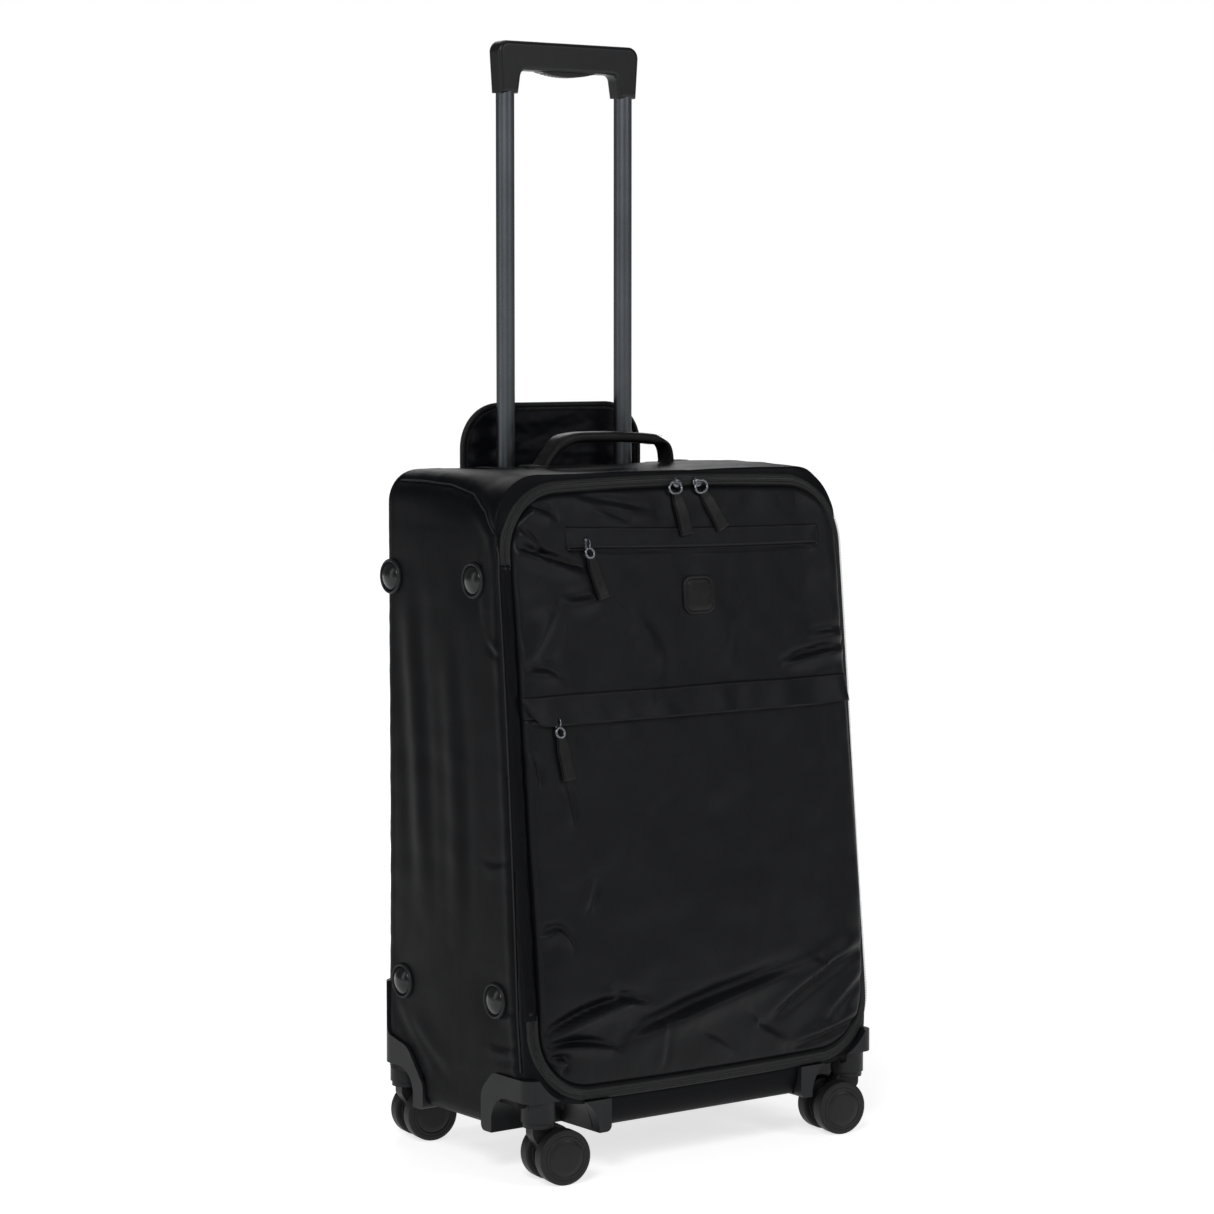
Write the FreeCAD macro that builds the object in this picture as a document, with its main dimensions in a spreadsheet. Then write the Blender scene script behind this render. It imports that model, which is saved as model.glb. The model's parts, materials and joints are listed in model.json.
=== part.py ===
import FreeCAD, Part
import math
import os
import Sketcher

# Softside upright suitcase with a telescoping trolley handle and four twin-wheel casters.
# Frame: +X to the right seen from the front, +Y towards the back, +Z up, floor at Z = 0,
# origin under the middle of the whole object.  All sizes are millimetres.

V = FreeCAD.Vector
DOC = FreeCAD.newDocument("suitcase")

DRIVING_SIZES = {
    # case shell
    "half_width": 205, "case_top": 650, "case_bottom": 45, "case_back": 121.5,
    "case_corner": 50, "foot_corner": 12, "back_round": 20, "fabric": 3,
    "top_seam": 634, "bottom_seam": 62, "back_seam": 109.5, "mouth_inset": 8,
    "lining": 1.2, "back_lining_depth": 88,
    # leaning front and the lid
    "lean_angle": 5.711, "lid_front": -127, "lid_low": 78, "lid_half": 198.8,
    "lid_tall": 569, "lid_corner": 50, "lid_depth": 13.7, "lid_wall": 5, "lid_rim": 3,
    "rim_depth": 14, "rim_gap": 0.5, "zip_band": 4.5,
    # pockets on the lid
    "flap_top": 368, "flap_low": 343, "pocket_half": 190, "pocket_puff": 8,
    "welt_left": -133.5, "welt_right": 170, "welt_low": 500, "welt_high": 522,
    "welt_lip": 8, "welt_thick": 1.3, "badge_thick": 1.7,
    # wheel wells and corner guards
    "caster_side": 186, "caster_depth": 110, "well_side": 128, "well_depth": 66,
    "well_top": 78, "arch_front": 34, "arch_side": 24,
    "guard_wall": 3, "guard_foot": 42, "guard_band": 99, "guard_reach": 114,
    "guard_back_top": 157,
    # casters
    "wheel_radius": 26, "wheel_thick": 14, "wheel_gap": 0.5, "web_thick": 14,
    "trail": 18, "swivel_turn": -7.8, "axle_radius": 3, "axle_length": 35,
    "hub_radius": 19.5, "cap_radius": 14, "socket_radius": 16, "spindle_radius": 5,
    # trolley
    "tube_side": 71, "tube_back": 105, "tube_radius": 9, "tube_bore": 7.6, "tube_fit": 0.06,
    "guide_radius": 11, "guide_bore": 9.8, "guide_foot": 64, "guide_top": 575,
    "collar_radius": 13, "collar_tall": 20, "inner_foot": 480,
    "grip_low": 1011.5, "grip_top": 1062, "grip_half": 85, "grip_depth": 20,
    "bar_low": 1034, "pin_level": 490, "rod_radius": 1.8, "rivet_radius": 1.2,
    # handle well behind the top panel
    "well_half": 100, "tray_front": 66, "tray_back": 118.5, "tray_floor": 590, "tray_wall": 2.5,
    # side feet and side handle
    "side_reach": 213, "strap_width": 24, "side_strap": 3.5,
}


def make_sheet():
    """Put every driving size in its own cell, with its name as the alias."""
    sheet = DOC.addObject("Spreadsheet::Sheet", "Sizes")
    for row, (name, size) in enumerate(DRIVING_SIZES.items(), start=1):
        sheet.set(f"A{row}", name)
        sheet.set(f"B{row}", str(size))
        sheet.setAlias(f"B{row}", name)
    DOC.recompute()
    return sheet


SHEET = make_sheet()


def num(expression):
    """The number that an expression on the sheet comes to."""
    result = SHEET.evalExpression(str(expression))
    return float(getattr(result, "Value", result))


def bind(thing, prop, expression):
    """Tie a property to an expression whose names are cells of the sheet."""
    words = str(expression)
    for name in sorted(DRIVING_SIZES, key=len, reverse=True):
        words = words.replace(name, "Sizes." + name.upper())
    for name in DRIVING_SIZES:
        words = words.replace("Sizes." + name.upper(), "Sizes." + name)
    thing.setExpression(prop, words)


# The lid and all that lies on it are drawn upright, front face at Y = 0 and bottom edge at
# Z = 0, and then leaned back onto the case's front.
LEAN_TURN = FreeCAD.Rotation(V(1, 0, 0), -num("lean_angle"))
LEAN = FreeCAD.Placement(V(0, num("lid_front"), num("lid_low")), LEAN_TURN)
UPRIGHT = FreeCAD.Placement()


# ---------------------------------------------------------------- drawing helpers

def new_body(name, place=UPRIGHT):
    piece = DOC.addObject("PartDesign::Body", name)
    piece.Label = name
    piece.Placement = place
    return piece


def new_sketch(piece, plane, offset):
    """A sketch on one of the body's own origin planes, moved along that plane's axis."""
    sketch = piece.newObject("Sketcher::SketchObject", piece.Name + "_sketch")
    role = {"XY": "XY_Plane", "XZ": "XZ_Plane", "YZ": "YZ_Plane"}[plane]
    support = next(f for f in piece.Origin.OriginFeatures if f.Role == role)
    sketch.AttachmentSupport = [(support, "")]
    sketch.MapMode = "FlatFace"
    # the XZ plane's normal is -Y
    bind(sketch, "AttachmentOffset.Base.z", f"-({offset})" if plane == "XZ" else offset)
    return sketch


def pin(sketch, kind, places, name, expression):
    """Add one driving dimension and tie it to the sheet."""
    index = sketch.addConstraint(Sketcher.Constraint(kind, *places, num(expression)))
    sketch.renameConstraint(index, name)
    bind(sketch, "Constraints." + name, expression)


def rounded_rect(sketch, left, right, low, high, radius):
    """A fully constrained rectangle with four equal round corners."""
    x0, x1, y0, y1, r = (num(size) for size in (left, right, low, high, radius))
    quarter = math.pi / 2

    def corner(cx, cy, start):
        circle = Part.Circle(V(cx, cy, 0), V(0, 0, 1), r)
        return Part.ArcOfCircle(circle, start, start + quarter)

    first = sketch.addGeometry([
        Part.LineSegment(V(x0 + r, y0, 0), V(x1 - r, y0, 0)),
        corner(x1 - r, y0 + r, -quarter),
        Part.LineSegment(V(x1, y0 + r, 0), V(x1, y1 - r, 0)),
        corner(x1 - r, y1 - r, 0),
        Part.LineSegment(V(x1 - r, y1, 0), V(x0 + r, y1, 0)),
        corner(x0 + r, y1 - r, quarter),
        Part.LineSegment(V(x0, y1 - r, 0), V(x0, y0 + r, 0)),
        corner(x0 + r, y0 + r, 2 * quarter),
    ])[0]
    bottom, right_side, top, left_side = first, first + 2, first + 4, first + 6
    for step in range(8):
        here, after = first + step, first + (step + 1) % 8
        sketch.addConstraint(Sketcher.Constraint("Tangent", here, 2, after, 1))
    for level in (bottom, top):
        sketch.addConstraint(Sketcher.Constraint("Horizontal", level))
    for upright in (right_side, left_side):
        sketch.addConstraint(Sketcher.Constraint("Vertical", upright))
    for arc in (first + 3, first + 5, first + 7):
        sketch.addConstraint(Sketcher.Constraint("Equal", first + 1, arc))
    tag = f"_{first}"
    pin(sketch, "Radius", (first + 1,), "radius" + tag, radius)
    pin(sketch, "DistanceX", (-1, 1, left_side, 1), "left" + tag, left)
    pin(sketch, "DistanceX", (-1, 1, right_side, 1), "right" + tag, right)
    pin(sketch, "DistanceY", (-1, 1, bottom, 1), "low" + tag, low)
    pin(sketch, "DistanceY", (-1, 1, top, 1), "high" + tag, high)


def circle(sketch, x, y, radius):
    """A constrained circle."""
    at = V(num(x), num(y), 0)
    index = sketch.addGeometry(Part.Circle(at, V(0, 0, 1), num(radius)))
    pin(sketch, "Radius", (index,), f"radius_{index}", radius)
    pin(sketch, "DistanceX", (-1, 1, index, 3), f"x_{index}", x)
    pin(sketch, "DistanceY", (-1, 1, index, 3), f"y_{index}", y)


def polygon(sketch, points, rounds=None):
    """A closed outline of straight sides, with chosen corners rounded by a tangent arc."""
    rounds = rounds or {}
    corners = [V(num(x), num(y), 0) for x, y in points]
    count = len(corners)
    starts, ends, arcs = [], [], []
    for i, here in enumerate(corners):
        before = (corners[i - 1] - here).normalize()
        after = (corners[(i + 1) % count] - here).normalize()
        radius = rounds.get(i, 0)
        if not radius:
            starts.append(here)
            ends.append(here)
            continue
        half = before.getAngle(after) / 2
        reach = radius / math.tan(half)
        middle = here + (before + after).normalize() * (radius / math.sin(half))
        crown = middle + (here - middle).normalize() * radius
        starts.append(here + before * reach)
        ends.append(here + after * reach)
        arcs.append(Part.Arc(starts[i], crown, ends[i]))
    for i in range(count):
        sketch.addGeometry(Part.LineSegment(ends[i], starts[(i + 1) % count]))
    for arc in arcs:
        sketch.addGeometry(arc)


def pad(piece, sketch, depth):
    """Raise a sketch towards +X, +Y or +Z."""
    feature = piece.newObject("PartDesign::Pad", piece.Name + "_pad")
    feature.Profile = sketch
    bind(feature, "Length", depth)
    feature.Reversed = "XZ_Plane" in sketch.AttachmentSupport[0][0].Role
    DOC.recompute()
    return feature


def pocket(piece, sketch, depth):
    """Cut a sketch into the body towards +X, +Y or +Z."""
    before = piece.Shape.Volume
    feature = piece.newObject("PartDesign::Pocket", piece.Name + "_pocket")
    feature.Profile = sketch
    bind(feature, "Length", depth)
    feature.Reversed = "XZ_Plane" not in sketch.AttachmentSupport[0][0].Role
    DOC.recompute()
    if not piece.Shape.Volume < before - 0.01:
        raise RuntimeError(piece.Name + ": the pocket cuts nothing")
    return feature


def round_edges(piece, radius, chosen):
    """Round the edges of the body's last feature that chosen(edge) picks."""
    tip = piece.Tip
    names = [f"Edge{i}" for i, edge in enumerate(tip.Shape.Edges, start=1) if chosen(edge)]
    feature = piece.newObject("PartDesign::Fillet", piece.Name + "_round")
    feature.Base = (tip, names)
    bind(feature, "Radius", radius)
    DOC.recompute()


def at_level(axis, level):
    """A test for edges that lie wholly at one level of an axis."""
    def chosen(edge):
        return all(abs(getattr(v.Point, axis) - num(level)) < 1e-4 for v in edge.Vertexes)
    return chosen


def slab(name, plane, start, depth, *outlines, place=UPRIGHT, soften=None):
    """A body of rounded rectangles, the first the outside and the rest holes."""
    piece = new_body(name, place)
    sketch = new_sketch(piece, plane, start)
    for outline in outlines:
        rounded_rect(sketch, *outline)
    pad(piece, sketch, depth)
    if soften:
        axis = {"XY": "z", "XZ": "y", "YZ": "x"}[plane]
        radius, level = soften
        round_edges(piece, radius, at_level(axis, level))
    return piece


def prism(name, plane, start, depth, points, rounds=None, place=UPRIGHT):
    """A body of one outline of straight sides and chosen round corners."""
    piece = new_body(name, place)
    sketch = new_sketch(piece, plane, start)
    polygon(sketch, points, rounds)
    pad(piece, sketch, depth)
    return piece


def block(name, x, y, z, place=UPRIGHT):
    """A plain box between pairs of coordinates."""
    piece = DOC.addObject("Part::Box", name)
    bind(piece, "Length", f"({x[1]}) - ({x[0]})")
    bind(piece, "Width", f"({y[1]}) - ({y[0]})")
    bind(piece, "Height", f"({z[1]}) - ({z[0]})")
    corner = V(num(x[0]), num(y[0]), num(z[0]))
    piece.Placement = place.multiply(FreeCAD.Placement(corner, FreeCAD.Rotation()))
    return piece


def rod(name, radius, length, foot, direction=V(0, 0, 1), place=UPRIGHT):
    """A plain cylinder from its foot along a direction."""
    piece = DOC.addObject("Part::Cylinder", name)
    bind(piece, "Radius", radius)
    bind(piece, "Height", length)
    turn = FreeCAD.Rotation(V(0, 0, 1), direction)
    corner = V(*(num(c) for c in foot))
    piece.Placement = place.multiply(FreeCAD.Placement(corner, turn))
    return piece


def cut(name, base, *tools):
    """The base with every tool taken away."""
    result = base
    for index, tool in enumerate(tools):
        feature = DOC.addObject("Part::Cut", name if index == len(tools) - 1 else name + "_cut")
        feature.Base = result
        feature.Tool = tool
        result = feature
    result.Label = name
    DOC.recompute()
    return result


def fuse(name, *shapes):
    feature = DOC.addObject("Part::MultiFuse", name)
    feature.Shapes = list(shapes)
    feature.Refine = True
    DOC.recompute()
    return feature


def common(name, *shapes):
    feature = DOC.addObject("Part::MultiCommon", name)
    feature.Shapes = list(shapes)
    DOC.recompute()
    return feature


def group(name, *shapes):
    """Several separate solids that share one node."""
    feature = DOC.addObject("Part::Compound", name)
    feature.Links = list(shapes)
    DOC.recompute()
    return feature


def mirrored(name, source, normal):
    feature = DOC.addObject("Part::Mirroring", name)
    feature.Source = source
    feature.Base = V(0, 0, 0)
    feature.Normal = normal
    DOC.recompute()
    return feature


NODES = {}


def keep(name, piece):
    """Register a finished sub-part under its node name."""
    piece.Label = name
    NODES[name] = piece


# ---------------------------------------------------------------- case shell

# further out than anything on the suitcase, for the spaces that parts are cut with
FAR = 300

def leaning_space(name, near, far):
    """All the space between two depths behind the lid's front face."""
    return block(name, (-FAR, FAR), (near, far), (-FAR, 3 * FAR), LEAN)


def case_volume(name, inset):
    """The case's outer form, or the same form drawn in by a wall's thickness."""
    piece = new_body(name)
    side = f"half_width - {inset}"
    low, high = f"case_bottom + {inset}", f"case_top - {inset}"
    sketch = new_sketch(piece, "XZ", -FAR)
    corners = [(f"-({side})", low), (side, low), (side, high), (f"-({side})", high)]
    foot, top = num(f"foot_corner - {inset}"), num(f"case_corner - {inset}")
    polygon(sketch, corners, {0: foot, 1: foot, 2: top, 3: top})
    pad(piece, sketch, f"{FAR} + case_back - {inset}")
    round_edges(piece, f"back_round - {inset}", at_level("y", f"case_back - {inset}"))
    return piece


def wheel_well(name, grow, side, end):
    """The arched corner space that a caster swivels in, grown by a wall's thickness."""
    top = f"well_top + {grow}"

    def arch(part, plane, inner, radius):
        outline = [(-FAR, -FAR), (f"-({inner})", -FAR), (f"-({inner})", top), (-FAR, top)]
        return prism(name + part, plane, -FAR, 2 * FAR, outline, {2: num(radius) + grow})

    front = arch("_front_arch", "XZ", f"well_side - {grow}", "arch_front")
    flank = arch("_side_arch", "YZ", f"well_depth - {grow}", "arch_side")
    well = common(name, front, flank)
    if side > 0:
        well = mirrored(name + "_right", well, V(1, 0, 0))
    if end > 0:
        well = mirrored(name + "_back", well, V(0, 1, 0))
    return well


CORNERS = {
    "front_left": (-1, -1),
    "front_right": (1, -1),
    "back_left": (-1, 1),
    "back_right": (1, 1),
}


def make_shell(outer):
    """The sewn shell, cut at its seams into the panels that it is sewn from."""
    inner = cut("inner_form", case_volume("inner_volume", "fabric"),
                leaning_space("front_wall_space", -FAR, "rim_depth + fabric"))
    mouth = slab("lid_mouth", "XZ", "lid_wall", 40,
                 ("mouth_inset - lid_half", "lid_half - mouth_inset", "mouth_inset",
                  "lid_tall - mouth_inset", "lid_corner - mouth_inset"), place=LEAN)
    wells = [wheel_well("liner_space_" + corner, num("guard_wall"), *signs)
             for corner, signs in CORNERS.items()]
    handle_space = block("handle_space", ("-well_half", "well_half"),
                         ("tray_front", "tray_back"), ("tray_floor", "case_top + 50"))
    shell = cut("sewn_shell", outer, inner, mouth, handle_space, *wells)
    rim_space = leaning_space("rim_space", -FAR, "rim_depth + fabric")
    back_space = block("back_space", (-FAR, FAR), ("back_seam", FAR), (0, 3 * FAR))
    keep("front_rim", common("front_rim", shell, rim_space))
    keep("back_panel", common("back_panel", shell, back_space))
    wrap = cut("wrap", shell, rim_space, back_space)
    regions = {
        "side_panel_left": ((-FAR, -FAR / 2), ("bottom_seam", "top_seam")),
        "side_panel_right": ((FAR / 2, FAR), ("bottom_seam", "top_seam")),
        "top_panel": ((-FAR, FAR), ("top_seam", 3 * FAR)),
        "bottom_panel": ((-FAR, FAR), (0, "bottom_seam")),
    }
    for name, (across, height) in regions.items():
        region = block(name + "_space", across, (-FAR, FAR), height)
        keep(name, common(name, wrap, region))


def lid_outline(grow):
    """The lid's outline, larger all round by grow."""
    return (f"-(lid_half + {grow})", f"lid_half + {grow}", f"-({grow})", f"lid_tall + {grow}",
            f"lid_corner + {grow}")


def make_case_trim():
    """The case's half of the zip, notched for the caster sockets, and the flat lining."""
    band = slab("zip_band_ring", "XZ", "zip_band", "rim_depth - zip_band",
                lid_outline("rim_gap + zip_band"), lid_outline("rim_gap"), place=LEAN)
    notches = [rod(f"socket_space_{side}", "socket_radius + 0.4", 60,
                   (f"{side} * caster_side", "-caster_depth", "case_bottom + 5"))
               for side in (-1, 1)]
    keep("case_zip_half", cut("case_zip_half", band, *notches))
    keep("back_lining", slab("back_lining", "XZ", "back_lining_depth", "lining",
                             ("5 - half_width", "half_width - 5", 86, "tray_floor - 5", 8)))


# ---------------------------------------------------------------- corner guards

def make_guards(outer):
    """Moulded corner guards: an outer band with two feet, and the liner of the wheel well."""
    lid_room = slab("lid_room", "XZ", -60, 200, lid_outline("rim_gap + zip_band"), place=LEAN)
    outside, low, end = "-half_width - guard_wall", "guard_foot", "-guard_reach"
    front_face, back_face, band = "lid_front", "case_back + guard_wall", "guard_band"
    tall = "guard_back_top"
    front_bulk = common(
        "front_bulk",
        prism("front_guard_face", "XZ", -130, 90,
              [(outside, low), (end, low), (end, 80), (-140, band), (outside, band)],
              {1: 6, 2: 22, 3: 18}),
        prism("front_guard_side", "YZ", -220, 110,
              [(front_face, low), (-49, low), (-49, 80), (-68, band), (front_face, band)],
              {1: 6, 2: 20, 3: 14}))
    back_bulk = common(
        "back_bulk",
        prism("back_guard_face", "XZ", 40, 90,
              [(outside, low), (end, low), (end, 70), (-150, 104), (-180, 108), (-180, tall),
               (outside, tall)], {1: 6, 2: 16, 3: 22, 4: 10, 5: 6}),
        prism("back_guard_side", "YZ", -220, 110,
              [(back_face, low), (back_face, tall), (113, tall), (113, 107), (76, 99),
               (49, 66), (49, low)], {3: 10, 4: 24, 5: 14, 6: 5}))
    rounded_front = rounded("front_bulk_rounded", front_bulk, outside, front_face, 14)
    rounded_back = rounded("back_bulk_rounded", back_bulk, outside, back_face, 18)
    liner_side, liner_depth = "guard_wall - well_side", "guard_wall - well_depth"
    liner_front = -114
    depths = {"front": (liner_front, liner_depth), "back": (f"-({liner_depth})", FAR)}
    for name, bulk, way in (("front", rounded_front, -1), ("back", rounded_back, 1)):
        well = wheel_well("well_" + name, 0, -1, way)
        liner_space = wheel_well("liner_" + name, num("guard_wall"), -1, way)
        reach = block("liner_reach_" + name, (-FAR, liner_side), depths[name], (0, 200))
        liner = common("liner_block_" + name, liner_space, outer, reach)
        skin = cut("skin_" + name, bulk, outer)
        left = cut(f"corner_guard_{name}_left", fuse("guard_bulk_" + name, skin, liner),
                   well, lid_room)
        keep(f"corner_guard_{name}_left", left)
        keep(f"corner_guard_{name}_right",
             mirrored(f"corner_guard_{name}_right", left, V(1, 0, 0)))


def rounded(name, piece, x, y, radius):
    """The piece with its vertical edges above one point of the plan rounded."""
    feature = DOC.addObject("Part::Fillet", name)
    feature.Base = piece
    found = []
    for index, edge in enumerate(piece.Shape.Edges, start=1):
        if all(abs(v.X - num(x)) < 1e-4 and abs(v.Y - num(y)) < 1e-4 for v in edge.Vertexes):
            found.append((index, radius, radius))
    feature.Edges = found
    DOC.recompute()
    return feature


# ---------------------------------------------------------------- feet and carry handles

# where each foot stands on the left side: depth and height
SIDE_FEET = [(104, 549), (-35, 553), (87, 161), (-69, 166)]
FOOT_RADIUS = 17
FOOT_RIM = 3
DOME_RADIUS = 13.2


def make_side_feet():
    """Domed studs that the case stands on when it is laid on its left side."""
    feet = []
    tall = num("side_reach - half_width")
    crown = DOME_RADIUS / 4
    outline = [V(crown, tall, 0), V(0, tall, 0), V(0, 0, 0), V(FOOT_RADIUS, 0, 0),
               V(FOOT_RADIUS, FOOT_RIM - 1.4, 0), V(FOOT_RADIUS - 1.4, FOOT_RIM, 0),
               V(DOME_RADIUS, FOOT_RIM, 0)]
    for index, (y, z) in enumerate(SIDE_FEET):
        foot = new_body(f"side_foot_{index}")
        sketch = new_sketch(foot, "XZ", 0)
        shoulder = V(0.75 * DOME_RADIUS, FOOT_RIM + 0.55 * (tall - FOOT_RIM), 0)
        sketch.addGeometry(Part.Arc(outline[-1], shoulder, outline[0]))
        for start, stop in zip(outline, outline[1:]):
            sketch.addGeometry(Part.LineSegment(start, stop))
        turned = foot.newObject("PartDesign::Revolution", f"side_foot_{index}_turned")
        turned.Profile = sketch
        turned.ReferenceAxis = (sketch, ["V_Axis"])
        foot.Placement = FreeCAD.Placement(V(-num("half_width"), y, z),
                                           FreeCAD.Rotation(V(0, 0, 1), V(-1, 0, 0)))
        feet.append(foot)
    keep("side_feet", group("side_feet", *feet))


# the top handle: its middle's depth, half its length, its own height above the case
TOP_HANDLE_DEPTH = 38
TOP_HANDLE_HALF = 76
LEG_THICK = 6
SIDE_HANDLE_LOW, SIDE_HANDLE_HIGH = 248, 452


def make_carry_handles():
    """The padded carry handles on the top and on the right side, and their sewn tabs."""
    half, seat, crown = TOP_HANDLE_HALF, 653.5, 685
    front, back = TOP_HANDLE_DEPTH - 12, TOP_HANDLE_DEPTH + 12
    arch = prism("top_handle_arch", "XZ", front, "strap_width",
                 [(-half, seat), (10 - half, seat), (14 - half, crown - 15),
                  (half - 14, crown - 15), (half - 10, seat), (half, seat),
                  (half, crown), (-half, crown)],
                 {2: 8, 3: 8, 6: 18, 7: 18})
    leg = LEG_THICK / 2
    slim_front = block("top_leg_front", (-90, 90), (front - 6, TOP_HANDLE_DEPTH - leg),
                       ("case_top - 10", crown - 20))
    slim_back = block("top_leg_back", (-90, 90), (TOP_HANDLE_DEPTH + leg, back + 6),
                      ("case_top - 10", crown - 20))
    keep("top_handle", cut("top_handle", arch, slim_front, slim_back))
    low, high, seat, face = SIDE_HANDLE_LOW, SIDE_HANDLE_HIGH, 208, "side_reach - side_strap"
    strap = prism("side_handle_strap", "XZ", -12, "strap_width",
                  [(seat, low + 2), (seat + 1, low + 2), (face, low + 22), (face, high - 22),
                   (seat + 1, high - 2), (seat, high - 2), (seat, high),
                   ("side_reach - 3", high), ("side_reach", high - 22),
                   ("side_reach", low + 22), ("side_reach - 3", low), (seat, low)], {})
    trims = [block("side_leg_front", (seat - 8, face), (-20, -leg), (low - 8, high + 8)),
             block("side_leg_back", (seat - 8, face), (leg, 20), (low - 8, high + 8))]
    keep("side_handle", cut("side_handle", strap, *trims))
    tabs = []
    for side in (-1, 1):
        middle = (half + 8) * side
        tabs.append(slab(f"top_tab_{side + 1}", "XY", "case_top", 1.8,
                         (middle - 14, middle + 14, front, back, 5)))
    for name, start in (("low", low - 19), ("high", high + 1)):
        tabs.append(slab(f"side_tab_{name}", "YZ", "half_width", 2.4,
                         (-14, 14, start, start + 18, 5)))
    keep("handle_tabs", group("handle_tabs", *tabs))


# ---------------------------------------------------------------- trolley

def both_tubes(sign):
    return f"{sign} * tube_side"


def make_handle_well(outer):
    """The tray that the grip is pushed down into, with a guide collar for each tube."""
    solid = common("tray_block_trimmed",
                   block("tray_block", ("-well_half", "well_half"), ("tray_front", "tray_back"),
                         ("tray_floor", "case_top + 50")), outer)
    hollow = block("tray_hollow", ("tray_wall - well_half", "well_half - tray_wall"),
                   ("tray_front + tray_wall", "tray_back - tray_wall"),
                   ("tray_floor + tray_wall", "case_top + 60"))
    tray = cut("tray_open", solid, hollow)
    collars = [rod(f"collar_{s}", "collar_radius", "collar_tall",
                   (both_tubes(s), "tube_back", "guide_top")) for s in (-1, 1)]
    solid_tray = fuse("tray_with_collars", tray, *collars)
    bores = [rod(f"collar_bore_{s}", "tube_radius + tube_fit", "collar_tall + 40",
                 (both_tubes(s), "tube_back", "guide_top - 20")) for s in (-1, 1)]
    keep("handle_well", cut("handle_well", solid_tray, *bores))


def make_outer_tubes():
    """Fixed tubes behind the lining, and the base frame that holds their feet."""
    plate_half, plate_depth, pedestal = 122, 100, 12
    plate = slab("base_plate", "XY", "case_bottom + fabric", 4,
                 (-plate_half, plate_half, -plate_depth, plate_depth, 10))
    cups, sockets = [], []
    for sign, side in ((-1, "left"), (1, "right")):
        at = both_tubes(sign)
        foot = (at, "tube_back", "guide_foot")
        below = (at, "tube_back", "guide_foot - 24")
        bar = rod("outer_tube_bar_" + side, "guide_radius", "guide_top - guide_foot", foot)
        bore = rod("outer_tube_bore_" + side, "guide_bore", "guide_top", below)
        keep("outer_tube_" + side, cut("outer_tube_" + side, bar, bore))
        cups.append(rod("tube_cup_" + side, "guide_radius + 1.8", 24,
                        (at, "tube_back", "guide_foot - 2")))
        cups.append(block("tube_pedestal_" + side, (f"{at} - {pedestal}", f"{at} + {pedestal}"),
                          ("tube_back - 17", "tube_back - 5"),
                          ("case_bottom + 5", "guide_foot + 22")))
        sockets.append(rod("tube_socket_" + side, "guide_radius", 40, foot))
    keep("base_frame", cut("base_frame", fuse("base_with_cups", plate, *cups), *sockets))


def make_inner_tubes():
    """The sliding tubes, each hollow for its release rod, with a slot for its lock pin."""
    for sign, side in ((-1, "left"), (1, "right")):
        at = both_tubes(sign)
        tube = rod("inner_tube_bar_" + side, "tube_radius", 556, (at, "tube_back", "inner_foot"))
        bore = rod("inner_tube_bore_" + side, "tube_bore", 540,
                   (at, "tube_back", "inner_foot + 26"))
        rod_hole = rod("inner_tube_rod_hole_" + side, "rod_radius + 0.7", 100,
                       (at, "tube_back", "inner_foot - 10"))
        pin_hole = rod("inner_tube_pin_hole_" + side, 3.1, 30, (at, "tube_back", "pin_level"),
                       V(0, 1, 0))
        keep("inner_tube_" + side, cut("inner_tube_" + side, tube, bore, rod_hole, pin_hole))


def make_grip():
    """The grip's two moulded shells, the crescent button under its bar and what it moves."""
    back_face, front_face = "tube_back + grip_depth / 2", "tube_back - grip_depth / 2"
    leg_out, leg_in, bar_in = 81.5, 60.5, 57
    outline = [(-leg_out, "grip_low"), (-leg_in, "grip_low"), (-bar_in, "bar_low"),
               (bar_in, "bar_low"), (leg_in, "grip_low"), (leg_out, "grip_low"),
               ("grip_half", "grip_top"), ("-grip_half", "grip_top")]
    whole = new_body("grip_form")
    sketch = new_sketch(whole, "XZ", front_face)
    polygon(sketch, outline, {2: 7, 3: 7, 6: 11, 7: 11})
    pad(whole, sketch, "grip_depth")
    for level in (front_face, back_face):
        round_edges(whole, 4.5, at_level("y", level))
    inside = block("grip_cavity", (-76, 76), ("tube_back - 6", "tube_back + 6"),
                   ("bar_low + 2", "grip_top - 4"))
    slot = block("grip_button_slot", (-BUTTON_HALF - 0.5, BUTTON_HALF + 0.5),
                 ("tube_back - 6.4", "tube_back + 6.4"), ("bar_low - 4", "bar_low + 3"))
    bores = [rod(f"grip_bore_{s}", "tube_radius", 30, (both_tubes(s), "tube_back", 1006))
             for s in (-1, 1)]
    hollowed = cut("grip_hollowed", whole, inside, slot, *bores)
    halves = {"grip_front_shell": (0, "tube_back"), "grip_back_shell": ("tube_back", FAR)}
    for name, depth in halves.items():
        space = block(name + "_space", (-FAR, FAR), depth, ("grip_low - 20", "grip_top + 20"))
        keep(name, common(name, hollowed, space))
    make_button()
    rods = [rod(f"release_rod_{s}", "rod_radius", 552, (both_tubes(s), "tube_back", 494))
            for s in (-1, 1)]
    bar = block("release_bar", (-75, 75), ("tube_back - 4", "tube_back + 4"),
                ("bar_low + 8", "bar_low + 12"))
    keep("release_yoke", fuse("release_yoke", bar, *rods))
    spring = rod("spring_outside", 3.6, 12, (0, "tube_back", "bar_low + 12"))
    keep("button_spring", cut("button_spring", spring,
                              rod("spring_inside", 2.4, 20, (0, "tube_back", "bar_low + 6"))))
    pins = [rod(f"lock_pin_{s}", 3, 6, (both_tubes(s), "tube_back + 3", "pin_level"), V(0, 1, 0))
            for s in (-1, 1)]
    keep("lock_pins", group("lock_pins", *pins))
    heads = [rod(f"rivet_{z}", "rivet_radius", 1.2,
                 ("tube_side - tube_radius + 0.1", "tube_back", z), V(1, 0, 0))
             for z in (988, 998)]
    keep("grip_rivets", group("grip_rivets", *heads))


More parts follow.
